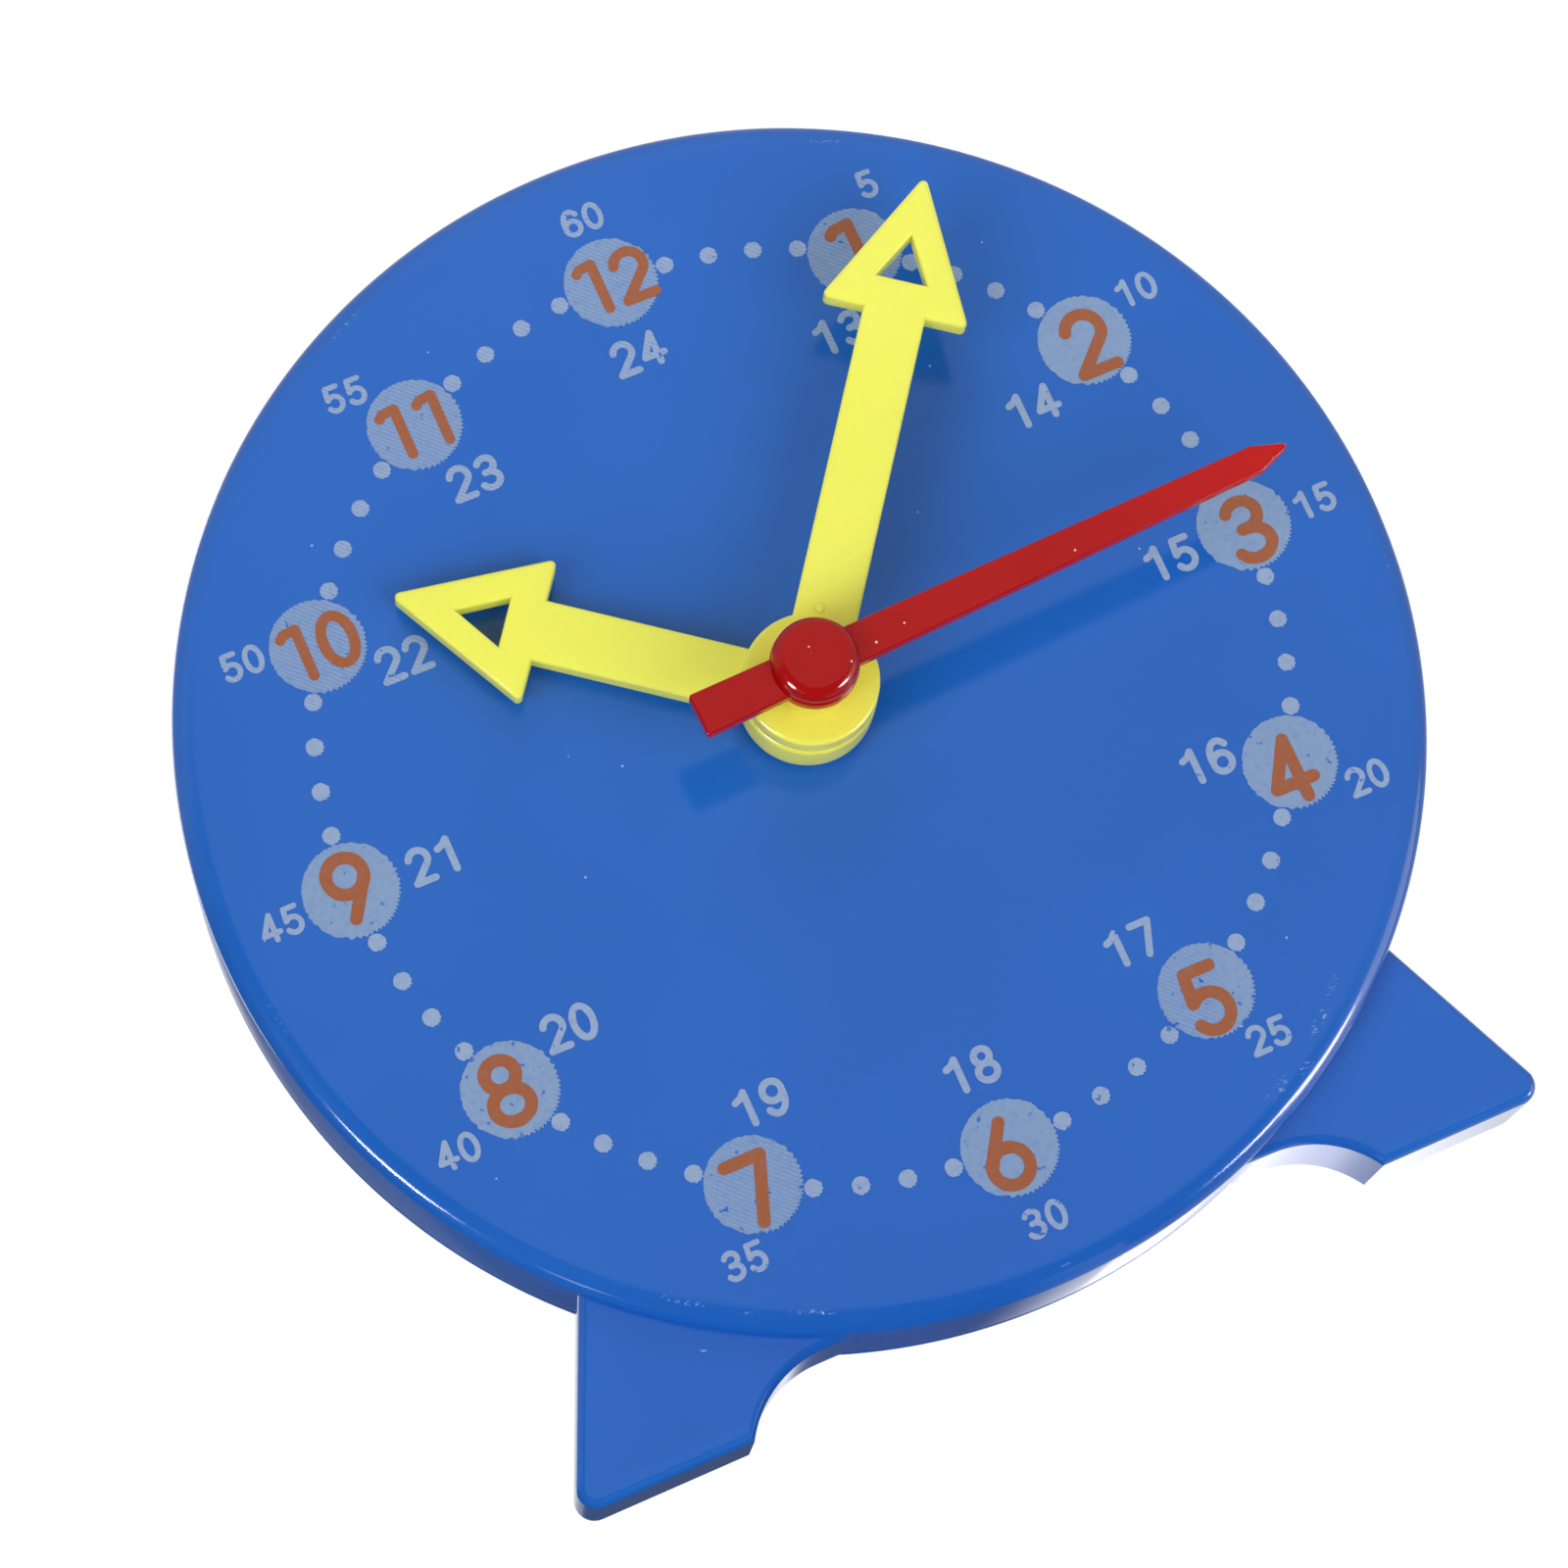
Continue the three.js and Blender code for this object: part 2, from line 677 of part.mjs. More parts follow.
const spacer = ring(arborRadius + clearance, spacerRadius, spacerFront, spacerBack);
mounted('train_spacer', spacer, steel);
mounted('friction_ring', frictionRing(), rubber);

const washer = ring(postScrewShank + clearance, washerRadius, washerFront, washerBack);
const postScrew = screw(
  postScrewShank, postScrewLength, postScrewHead, postScrewHeadHeight, washerBack,
);
mounted('transfer_gear', transferGear(), acetal, 0, postPlace);
mounted('transfer_washer', washer, steel, 0, postPlace);
mounted('transfer_screw', postScrew, steel, 0, postPlace);

export default clock;
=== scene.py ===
# Teaching clock: the looks of a round plastic case on two feet, with arrow hands and a printed dial.
import math

import bmesh
import bpy
from mathutils import Matrix, Vector, geometry, noise


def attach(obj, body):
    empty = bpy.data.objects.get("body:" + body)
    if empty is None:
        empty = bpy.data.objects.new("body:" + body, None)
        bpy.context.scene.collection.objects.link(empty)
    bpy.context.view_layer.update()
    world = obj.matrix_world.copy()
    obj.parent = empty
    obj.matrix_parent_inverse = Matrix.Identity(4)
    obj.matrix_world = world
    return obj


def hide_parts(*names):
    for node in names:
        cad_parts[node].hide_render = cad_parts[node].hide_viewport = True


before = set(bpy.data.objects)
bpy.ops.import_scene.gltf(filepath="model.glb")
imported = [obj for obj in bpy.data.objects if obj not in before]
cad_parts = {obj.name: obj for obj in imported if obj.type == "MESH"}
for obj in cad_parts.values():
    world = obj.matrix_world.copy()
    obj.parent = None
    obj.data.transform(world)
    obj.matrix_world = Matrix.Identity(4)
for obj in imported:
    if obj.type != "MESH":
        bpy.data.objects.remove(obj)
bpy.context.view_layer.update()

# Sizes are millimetres in the clock's own space: x to the right, depth behind the dial face and
# height above the hands' axis. Clock angles start at 12 and grow the way the hands turn.
DIAL_RADIUS = 50.0
AXIS_HEIGHT = 51.4
FACE_DEPTH = 3.55
TO_FRAME = Matrix.Scale(0.001, 4) @ Matrix.Translation((0, -FACE_DEPTH, AXIS_HEIGHT))
FULL_TURN = 2 * math.pi
FIT = 0.3
FLAT_DEPTH = 0.5
# Distance between the threads of the printing mesh
MESH_PITCH = 0.32

HOUR_ANGLE = math.radians(306.9)
MINUTE_ANGLE = math.radians(36.3)
SECOND_ANGLE = math.radians(87.4)

CASE_DEPTH = 11.2
COVER_FRONT = 11.5
COVER_BACK = 13.0
RIM_WALL = 1.8
FACE_THICKNESS = 2.0

# Support loops lie this far past a rounding, so that flat faces stay flat in the shading
SUPPORT = 0.06
# Edges with a steeper angle than this are shaded sharp
CREASE = math.radians(32)


def link(data, name):
    """A new object of the scene that holds a mesh, a lamp or a camera."""
    made = bpy.data.objects.new(name, data)
    bpy.context.scene.collection.objects.link(made)
    return made


def evaluated_mesh(holder):
    """The holder's mesh with its modifiers applied; the holder itself is removed."""
    bpy.context.view_layer.update()
    graph = bpy.context.evaluated_depsgraph_get()
    mesh = bpy.data.meshes.new_from_object(holder.evaluated_get(graph), depsgraph=graph)
    bpy.data.objects.remove(holder)
    return mesh


def mesh_from(built):
    """A plain mesh from a bmesh, closed at its seams and with its faces turned outwards."""
    bmesh.ops.remove_doubles(built, verts=built.verts, dist=1e-4)
    bmesh.ops.dissolve_degenerate(built, edges=built.edges, dist=1e-5)
    bmesh.ops.recalc_face_normals(built, faces=built.faces)
    mesh = bpy.data.meshes.new("part")
    built.to_mesh(mesh)
    built.free()
    return mesh


def combined(base, tools, operation):
    """A mesh joined with others or cut by them."""
    holder = link(base, "joining")
    helpers = [link(tool, "tool") for tool in tools]
    for helper in helpers:
        step = holder.modifiers.new("step", "BOOLEAN")
        step.operation = operation
        step.solver = "EXACT"
        step.object = helper
    mesh = evaluated_mesh(holder)
    for helper in helpers:
        bpy.data.objects.remove(helper)
    return mesh


def joined(base, *tools):
    return combined(base, tools, "UNION")


def cut(base, *tools):
    return combined(base, tools, "DIFFERENCE")


def at(radius, angle):
    return Vector((radius * math.sin(angle), radius * math.cos(angle)))


def softened(corners, steps=5):
    """A closed path whose corners (x, y, round) are rounded, with a support point past each end."""
    points = []
    count = len(corners)
    for i, (x, y, radius) in enumerate(corners):
        corner = Vector((x, y))
        if radius == 0:
            points.append(corner)
            continue
        before = (Vector(corners[i - 1][:2]) - corner).normalized()
        after = (Vector(corners[(i + 1) % count][:2]) - corner).normalized()
        half = before.angle(after) / 2
        reach = radius / math.tan(half)
        centre = corner + (before + after).normalized() * (radius / math.sin(half))
        start = corner + before * reach - centre
        sweep = start.angle_signed(corner + after * reach - centre)
        points.append(corner + before * (reach + SUPPORT))
        for k in range(steps + 1):
            turn = Matrix.Rotation(-sweep * k / steps, 2)
            points.append(centre + turn @ start)
        points.append(corner + after * (reach + SUPPORT))
    return points


def bridged(built, first, second):
    """Faces between two closed rings of vertices."""
    count = len(first)
    for i in range(count):
        j = (i + 1) % count
        built.faces.new((first[i], first[j], second[j], second[i]))


def turned(profile, segments, centre=(0, 0)):
    """A closed profile of (radius, depth) points turned about an axis."""
    built = bmesh.new()
    rings = []
    for k in range(segments):
        place = at(1, FULL_TURN * k / segments)
        rings.append([
            built.verts.new((centre[0] + r * place.x, d, centre[1] + r * place.y)) for r, d in profile
        ])
    for here, there in zip(rings, rings[1:] + rings[:1]):
        bridged(built, here, there)
    return mesh_from(built)


def spun(corners, segments, steps=5, centre=(0, 0)):
    return turned(softened(corners, steps), segments, centre)


def disc(radius, front, back, segments, centre=(0, 0)):
    return turned([(0, front), (radius, front), (radius, back), (0, back)], segments, centre)


def inset(loop, distance):
    """A loop drawn in by a distance; the material lies to its right, as on a clockwise outline."""
    moved = []
    count = len(loop)
    for i, point in enumerate(loop):
        before = (point - loop[i - 1]).normalized()
        after = (loop[(i + 1) % count] - point).normalized()
        side = Vector((before.y, -before.x)) + Vector((after.y, -after.x))
        moved.append(point + side * (2 * distance / side.length_squared))
    return moved


def plate(loops, front, back, edge=0.0, back_edge=None, steps=4):
    """Outlines and holes between two depths, with rounded edges. The first loop is clockwise
    seen from the front, and the holes run the other way."""
    def rounding(radius):
        """How far each level is drawn in and how deep it lies, from the face inwards."""
        if not radius:
            return [(0, 0)]
        quarter = [math.pi / 2 * k / steps for k in range(steps + 1)]
        curve = [(radius * (1 - math.sin(a)), radius * (1 - math.cos(a))) for a in quarter]
        return [(radius + SUPPORT, 0), *curve, (0, radius + SUPPORT)]

    back_edge = edge if back_edge is None else back_edge
    levels = [(distance, front + depth) for distance, depth in rounding(edge)]
    levels += [(distance, back - depth) for distance, depth in reversed(rounding(back_edge))]
    built = bmesh.new()
    walls = []
    for loop in loops:
        wall = []
        for distance, depth in levels:
            points = inset(loop, distance) if distance else loop
            wall.append([built.verts.new((p.x, depth, p.y)) for p in points])
        walls.append(wall)
        for upper, lower in zip(wall, wall[1:]):
            bridged(built, upper, lower)
    for level in (0, -1):
        rings = [[Vector((v.co.x, v.co.z, 0)) for v in wall[level]] for wall in walls]
        verts = [v for wall in walls for v in wall[level]]
        for face in geometry.tessellate_polygon(rings):
            if len(set(face)) == 3:
                built.faces.new([verts[i] for i in face])
    return mesh_from(built)


def arc(centre, radius, start, end, steps):
    return [at(radius, start + (end - start) * k / steps) + Vector(centre) for k in range(steps + 1)]


def flatted(radius):
    """A round section with one flat towards 12, which keys a shaft."""
    opening = math.acos((radius - FLAT_DEPTH) / radius)
    return arc((0, 0), radius, opening, FULL_TURN - opening, 64)


def rotated(mesh, angle):
    """A mesh turned about the hands' axis by a clock angle."""
    mesh.transform(Matrix.Rotation(angle, 4, "Y"))
    return mesh


def fitted(name, mesh, material, body, nodes=()):
    """The finished piece: placed in the frame, shaded, riding on its body."""
    mesh.transform(TO_FRAME)
    mesh.name = name
    mesh.materials.clear()
    mesh.materials.append(material)
    for polygon in mesh.polygons:
        polygon.use_smooth = True
        polygon.material_index = 0
    mesh.set_sharp_from_angle(angle=CREASE)
    piece = link(mesh, name)
    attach(piece, body)
    if nodes:
        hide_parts(*nodes)
    return piece


# Node helpers


def fed(made, inputs):
    """A node with its inputs set, each to a value, a socket or the first output of another node."""
    for key, value in inputs.items():
        if isinstance(value, bpy.types.Node):
            value = value.outputs[0]
        if isinstance(value, bpy.types.NodeSocket):
            made.id_data.links.new(value, made.inputs[key])
        else:
            made.inputs[key].default_value = value
    return made


def node_in(tree, kind, inputs=None, **settings):
    """A new node in a tree."""
    made = tree.nodes.new(kind)
    for key, value in settings.items():
        setattr(made, key, value)
    return fed(made, inputs or {})


def node(kind, inputs, **settings):
    """A new node in the tree that its inputs come from."""
    sources = [v for v in inputs.values() if isinstance(v, (bpy.types.Node, bpy.types.NodeSocket))]
    return node_in(sources[0].id_data, kind, inputs, **settings)


def math_of(operation, a, b=0.0, c=0.0, clamp=False):
    return node("ShaderNodeMath", {0: a, 1: b, 2: c}, operation=operation, use_clamp=clamp)


def times(a, b):
    return math_of("MULTIPLY", a, b)


def plus(a, b, clamp=False):
    return math_of("ADD", a, b, clamp=clamp)


def minus(a, b):
    return math_of("SUBTRACT", a, b)


def times_plus(a, b, c, clamp=False):
    """a times b, and c added."""
    return math_of("MULTIPLY_ADD", a, b, c, clamp)


def over(a, b):
    return math_of("DIVIDE", a, b)


def larger(a, b, clamp=False):
    return math_of("MAXIMUM", a, b, clamp=clamp)


def vector_of(operation, a, b=(0, 0, 0)):
    return node("ShaderNodeVectorMath", {0: a, 1: b}, operation=operation)


def value_of(operation, a, b=(0, 0, 0)):
    """A vector operation that gives a number, such as a length or a dot product."""
    return vector_of(operation, a, b).outputs["Value"]


def axes(vector):
    return node("ShaderNodeSeparateXYZ", {0: vector}).outputs


def from_axes(x=0.0, y=0.0, z=0.0):
    return node("ShaderNodeCombineXYZ", {0: x, 1: y, 2: z})


def round_axis(angle, radius, depth):
    """The point at a clock angle, a radius and a depth."""
    x = times(math_of("SINE", angle), radius)
    z = times(math_of("COSINE", angle), radius)
    return from_axes(x, depth, z)


def mixed(factor, a, b):
    return node("ShaderNodeMix", {0: factor, 6: a, 7: b}, data_type="RGBA").outputs[2]


def ramp(value, low, high):
    """0 below low and 1 above high, smooth between them."""
    limits = {"Value": value, "From Min": low, "From Max": high}
    return node("ShaderNodeMapRange", limits, interpolation_type="SMOOTHSTEP")


def cloud(place, scale, detail=2.0, roughness=0.5):
    settings = {"Vector": place, "Scale": scale, "Detail": detail, "Roughness": roughness}
    return node("ShaderNodeTexNoise", settings).outputs["Fac"]


SOCKET_TYPES = {float: "NodeSocketFloat", int: "NodeSocketInt", tuple: "NodeSocketColor"}


def new_group(kind, name, inputs, outputs):
    """A node group, the sockets of its input node, and its output node. Each input is named with
    its default value, or with its socket's type where it has none."""
    tree = bpy.data.node_groups.new(name, kind)
    for label, value in inputs.items():
        socket_type = SOCKET_TYPES.get(type(value), value)
        socket = tree.interface.new_socket(label, in_out="INPUT", socket_type=socket_type)
        if socket_type != value:
            socket.default_value = value
    for label, socket_type in outputs.items():
        tree.interface.new_socket(label, in_out="OUTPUT", socket_type=socket_type)
    return tree, tree.nodes.new("NodeGroupInput").outputs, tree.nodes.new("NodeGroupOutput")


def millimetres(tree):
    """The piece's own coordinates in millimetres."""
    coordinates = tree.nodes.new("ShaderNodeTexCoord").outputs["Object"]
    return vector_of("MULTIPLY", coordinates, (1000, 1000, 1000))


def on_dial(tree):
    """The place in the dial's plane, measured in millimetres from the hands' axis."""
    split = axes(millimetres(tree))
    return from_axes(split["X"], minus(split["Z"], AXIS_HEIGHT))


# Shader groups

GREY = (0.5, 0.5, 0.5, 1)
SURFACE = {"Colour": "NodeSocketColor", "Roughness": "NodeSocketFloat", "Height": "NodeSocketFloat"}


def hair_lines(place, cell, width, length, rare):
    """Short scratches with a slight bend, at most one in each cell, each in its own direction."""
    cells = node("ShaderNodeTexVoronoi", {"Vector": place, "Scale": cell})
    chance = node("ShaderNodeSeparateColor", {0: cells.outputs["Color"]}).outputs
    middle = vector_of("MULTIPLY", cells.outputs["Position"], (1 / cell,) * 3)
    local = axes(vector_of("SUBTRACT", place, middle))
    angle = times(chance[0], math.pi)
    cosine, sine = math_of("COSINE", angle), math_of("SINE", angle)
    along = times_plus(local["X"], cosine, times(local["Z"], sine))
    across = times_plus(local["X"], sine, times(times(local["Z"], cosine), -1.0))
    bend = times(math_of("POWER", math_of("ABSOLUTE", along), 2.0), 0.03)
    across = math_of("ABSOLUTE", plus(across, bend))
    reach = times(chance[1], length)
    near = math_of("LESS_THAN", math_of("ABSOLUTE", along), reach)
    line = minus(1.0, ramp(across, 0.0, width))
    shown = math_of("LESS_THAN", chance[2], rare)
    return times(times(line, near), shown)


def moulded_surface():
    """Clouding, wipe marks, hair scratches and dust of a moulded plastic face."""
    tree, given, end = new_group(
        "ShaderNodeTree", "moulded surface",
        {
            "Colour": GREY, "Cloud Colour": GREY, "Dust Colour": GREY, "Gloss": 0.15, "Wipe": 0.05,
            "Scratches": 0.5, "Dust": 0.5, "Dust Scale": 0.33, "Dust Size": 0.12, "Peel Scale": 0.5,
        },
        SURFACE,
    )
    place = millimetres(tree)
    broad = ramp(cloud(place, 0.05, 3.0), 0.35, 0.65)
    colour = mixed(broad, given["Colour"], given["Cloud Colour"])
    moved = vector_of("ADD", place, (3.7, 9.1, 5.3))
    long_lines = hair_lines(place, 0.13, 0.05, 2.6, 0.16)
    lines = larger(long_lines, hair_lines(moved, 0.3, 0.04, 1.3, 0.12))
    scratch = times(lines, given["Scratches"])
    cells = node("ShaderNodeTexVoronoi", {"Vector": place, "Scale": given["Dust Scale"]})
    chosen = node("ShaderNodeSeparateColor", {0: cells.outputs["Color"]}).outputs
    size = times(chosen[1], times(given["Dust Size"], given["Dust Scale"]))
    speck = math_of("LESS_THAN", cells.outputs["Distance"], size)
    rare = math_of("GREATER_THAN", chosen[0], 0.64)
    dust = times(times(speck, rare), given["Dust"])
    marks = larger(dust, times(scratch, 0.35), clamp=True)
    colour = mixed(marks, colour, given["Dust Colour"])
    smear = minus(cloud(place, 0.09, 4.0, 0.6), 0.5)
    rough = times_plus(smear, given["Wipe"], given["Gloss"])
    rough = times_plus(marks, 0.3, rough, clamp=True)
    peel = cloud(place, given["Peel Scale"])
    height = minus(peel, times(scratch, 0.15))
    fed(end, {"Colour": colour, "Roughness": rough, "Height": height})
    return tree


HATCHED_PLACES = ((16.5, 0, 18.5), (-18.5, 0, 17.5))


def worn_ink():
    """Screen printed ink: mesh lines, thin spots and chips that let the plastic show."""
    tree, given, end = new_group(
        "ShaderNodeTree", "worn ink",
        {"Ink": GREY, "Ground": GREY, "Lines": 0.3, "Thin Spots": 0.3, "Chips": 0.5}, SURFACE,
    )
    place = millimetres(tree)
    split = axes(place)
    across = plus(split["X"], split["Z"])
    wobble = times(cloud(place, 0.8, 2.0), 0.25)
    turns = over(plus(across, wobble), MESH_PITCH)
    wave = math_of("SINE", times(turns, FULL_TURN / math.sqrt(2)))
    wave = ramp(wave, -0.2, 0.9)
    lean = times_plus(split["X"], -0.004, times(split["Z"], 0.012))
    patch = plus(cloud(place, 0.07, 2.0), lean)
    area = ramp(patch, 1.2, 1.5)
    for centre in HATCHED_PLACES:
        away = value_of("DISTANCE", place, centre)
        area = larger(area, times(ramp(away, 7.0, 4.5), 0.8))
    lines = times(times(wave, area), given["Lines"])
    grain = cloud(place, 1.7, 5.0, 0.65)
    thin = times(ramp(grain, 0.42, 0.75), given["Thin Spots"])
    low = times(ramp(split["Z"], 62.0, 30.0), 0.05)
    flakes = ramp(plus(cloud(place, 1.15, 3.0, 0.6), low), 0.69, 0.71)
    flake = times(flakes, given["Chips"])
    bare = plus(plus(lines, thin), flake, clamp=True)
    tone = mixed(bare, given["Ink"], given["Ground"])
    rough = times_plus(bare, -0.12, 0.42)
    height = minus(times(grain, 0.4), bare)
    fed(end, {"Colour": tone, "Roughness": rough, "Height": height})
    return tree


MOULDED = moulded_surface()
WORN_INK = worn_ink()


def material_with(name, group, values, shader, bump):
    """A material whose colour, roughness and relief come from a group."""
    material = bpy.data.materials.new(name)
    material.use_nodes = True
    tree = material.node_tree
    principled = tree.nodes["Principled BSDF"]
    made = node_in(tree, "ShaderNodeGroup", node_tree=group)
    made = fed(made, values).outputs
    relief = node("ShaderNodeBump", {"Height": made["Height"], "Distance": bump, "Strength": 1.0})
    fed(principled, {
        **shader, "Base Color": made["Colour"], "Roughness": made["Roughness"], "Normal": relief,
    })
    return material


def plastic(level):
    """Shader values of a plastic with its level of shine."""
    return {"IOR": 1.45, "Specular IOR Level": level}


def moulded(name, tones, finish, relief, shader, specks=None):
    """A solid material from its own tone, clouding and dust, and from a finish of gloss, wipe
    marks, scratches, dust and peel scale."""
    values = dict(zip(("Colour", "Cloud Colour", "Dust Colour"), [(*tone, 1) for tone in tones]))
    values.update(zip(("Gloss", "Wipe", "Scratches", "Dust", "Peel Scale"), finish))
    return material_with(name, MOULDED, {**values, **(specks or {})}, shader, relief)


BLUE = (0.009, 0.108, 0.46)
BLUES = (BLUE, (0.011, 0.115, 0.48), (0.35, 0.45, 0.65))
blue_gloss = moulded("blue gloss plastic", BLUES, (0.13, 0.06, 0.5, 0.8, 0.22), 4e-6, plastic(0.4))

# Clock angle in degrees, radius, half length along the rim, half width and strength
WEAR_MARKS = [
    (153.8, 47.9, 1.7, 0.6, 0.55), (150.2, 48.6, 1.1, 0.4, 0.6), (145.8, 47.5, 1.7, 0.5, 0.7),
    (142.3, 47.0, 1.4, 0.4, 0.35), (179.7, 48.9, 0.6, 0.3, 0.8), (215.2, 48.6, 2.6, 0.28, 0.6),
    (203.5, 48.4, 2.4, 0.28, 0.7), (208.5, 48.7, 1.4, 0.2, 0.4), (212.0, 51.7, 0.9, 0.16, 0.8),
    (198.6, 50.9, 0.7, 0.3, 0.9), (99.0, 48.7, 1.8, 0.3, 0.3), (26.0, 48.4, 2.2, 0.3, 0.3),
    (334.0, 48.5, 2.4, 0.3, 0.3), (262.0, 48.4, 2.0, 0.3, 0.35),
]


def tinted(mask, tint):
    """Mixes a tint over what feeds the base colour so far."""
    base = mask.id_data.nodes["Principled BSDF"].inputs["Base Color"]
    fed(base.node, {"Base Color": mixed(mask, base.links[0].from_socket, tint)})


def worn_places(material):
    """Pale scuffs at given places on the dial and its rim, broken up by a fine grain."""
    tree = material.node_tree
    place = millimetres(tree)
    flat = on_dial(tree)
    spots = 0.0
    for clock, radius, length, width, strength in WEAR_MARKS:
        angle = math.radians(clock)
        centre = at(radius, angle)
        local = vector_of("SUBTRACT", flat, (centre.x, centre.y, 0))
        sine, cosine = math.sin(angle), math.cos(angle)
        along = value_of("DOT_PRODUCT", local, (cosine / length, -sine / length, 0))
        across = value_of("DOT_PRODUCT", local, (sine / width, cosine / width, 0))
        away = times_plus(along, along, times(across, across))
        near = times(ramp(away, 1.0, 0.3), strength)
        spots = larger(spots, near)
    streaks = cloud(vector_of("MULTIPLY", place, (1.6, 2.0, 4.2)), 1.0, 4.0, 0.7)
    mask = times(spots, ramp(streaks, 0.52, 0.68))
    tinted(mask, (0.42, 0.55, 0.74, 1))
    rough = tree.nodes["Principled BSDF"].inputs["Roughness"]
    rougher = times_plus(mask, 0.35, rough.links[0].from_socket, clamp=True)
    fed(rough.node, {"Roughness": rougher})


case_gloss = moulded("blue case plastic", BLUES, (0.13, 0.06, 0.7, 0.9, 0.22), 4e-6, plastic(0.42))
worn_places(case_gloss)
blue_satin = moulded(
    "blue satin plastic", ((0.004, 0.085, 0.40), (0.006, 0.095, 0.43), (0.3, 0.4, 0.6)),
    (0.34, 0.1, 0.6, 0.5, 5.0), 2e-5, plastic(0.4),
)
yellow_gloss = moulded(
    "yellow gloss plastic", ((0.84, 0.82, 0.125), (0.82, 0.80, 0.112), (0.55, 0.5, 0.1)),
    (0.24, 0.08, 0.3, 0.35, 0.5), 6e-6,
    {
        **plastic(0.35), "Subsurface Weight": 0.65, "Subsurface Scale": 0.003,
        "Subsurface Radius": (1.0, 0.7, 0.15),
    },
)


def tinted_round_axis(material, low, high, strength, tint):
    """Mixes in a tint of painted light by the distance from the hands' axis: none at low, the strength
    at high.
    """
    away = value_of("LENGTH", on_dial(material.node_tree))
    tinted(times(ramp(away, low, high), strength), tint)


# Painted glow: the yellow hands turn orange near the axis, standing in for the light that the red cap
# throws on them.
tinted_round_axis(yellow_gloss, 8.0, 2.6, 0.4, (0.84, 0.6, 0.055, 1))
red_gloss = moulded(
    "red gloss plastic", ((0.36, 0.003, 0.003), (0.395, 0.004, 0.003), (0.85, 0.55, 0.5)),
    (0.11, 0.05, 0.3, 1.0, 0.5), 5e-6, plastic(0.25), {"Dust Scale": 0.75, "Dust Size": 0.13},
)
# Painted highlight: the red blade's colour grows brighter towards its tip.
tinted_round_axis(red_gloss, 15.0, 46.0, 0.8, (0.53, 0.006, 0.004, 1))
acetal = moulded(
    "natural acetal", ((0.78, 0.77, 0.70), (0.72, 0.71, 0.64), (0.5, 0.48, 0.42)),
    (0.4, 0.12, 0.2, 0.2, 3.0), 8e-6, {"IOR": 1.48},
)
rubber = moulded(
    "black rubber", ((0.012, 0.012, 0.013), (0.022, 0.022, 0.023), (0.12, 0.12, 0.12)),
    (0.75, 0.15, 0.1, 0.6, 6.0), 2e-5, {"IOR": 1.5},
)
steel = moulded(
    "plated steel", ((0.56, 0.57, 0.58), (0.46, 0.47, 0.49), (0.3, 0.29, 0.27)),
    (0.3, 0.2, 0.6, 0.2, 4.0), 1e-5, {"Metallic": 1.0},
)


def printed(name, ink, ground, lines, thin, chips, relief, level):
    """An ink over its ground, with the strengths of its mesh lines, thin spots and chips."""
    values = {"Ink": (*ink, 1), "Ground": (*ground, 1), "Lines": lines, "Thin Spots": thin}
    return material_with(name, WORN_INK, {**values, "Chips": chips}, plastic(level), relief)


pale_ink = printed("pale ink", (0.22, 0.32, 0.50), BLUE, 0.3, 0.22, 0.8, 1e-5, 0.35)
dot_ink = printed("pale dot ink", (0.285, 0.375, 0.545), BLUE, 0.25, 0.22, 0.8, 1e-5, 0.35)
brown_ink = printed("brown ink", (0.32, 0.095, 0.036), (0.25, 0.2, 0.2), 0.0, 0.25, 0.1, 8e-6, 0.3)


# Case with its feet

SCREW_CIRCLE = 41.0
SCREW_PLACES = [at(SCREW_CIRCLE, math.radians(a)) for a in (45, 135, 225, 315)]
POST_PLACE = at(20.0, math.pi)
FOOT_FRONT = 2.3
FOOT_WALL = 1.7
FOOT_SLOPE = math.tan(math.radians(23.8))
FOOT_RIM = at(DIAL_RADIUS, math.radians(135.64))
FOOT_TOP = -34.3
FOOT_CORNER = 1.6
RIB_X = 34.4
RIB_HALF = 0.7
ARCH_RADIUS = 9.0
ARCH_DROP = 4.65
ARCH_X = 19.26
RIM_ROUND_WIDTH = 2.0
RIM_ROUND_DEPTH = 1.3
HOUR_PIPE = 3.3
HOUR_BEARING = 5.0
FINE = 288


def foot_outline(drawn_in):
    """The right foot, drawn in by a wall's thickness for its pocket; clockwise from the front."""
    ground = -AXIS_HEIGHT + drawn_in
    edge_x = FOOT_RIM.x - drawn_in / math.cos(math.atan(FOOT_SLOPE))
    radius = ARCH_RADIUS + drawn_in
    arch_end = math.acos((ARCH_DROP + drawn_in) / radius)
    arch_centre = (ARCH_X, -AXIS_HEIGHT - ARCH_DROP)
    arch = arc(arch_centre, radius, arch_end, 0, 24)
    arch_top = arch_centre[1] + radius
    corners = [
        (edge_x + (FOOT_RIM.y - FOOT_TOP) * FOOT_SLOPE, FOOT_TOP, 0),
        (edge_x + (FOOT_RIM.y - ground) * FOOT_SLOPE, ground, max(FOOT_CORNER - drawn_in, 0)),
        (arch[0].x, ground, 0),
    ]
    inner = (math.sqrt((DIAL_RADIUS - RIM_WALL) ** 2 - arch_top ** 2), arch_top)
    return softened(corners, 8) + arch[1:] + [Vector(inner)]


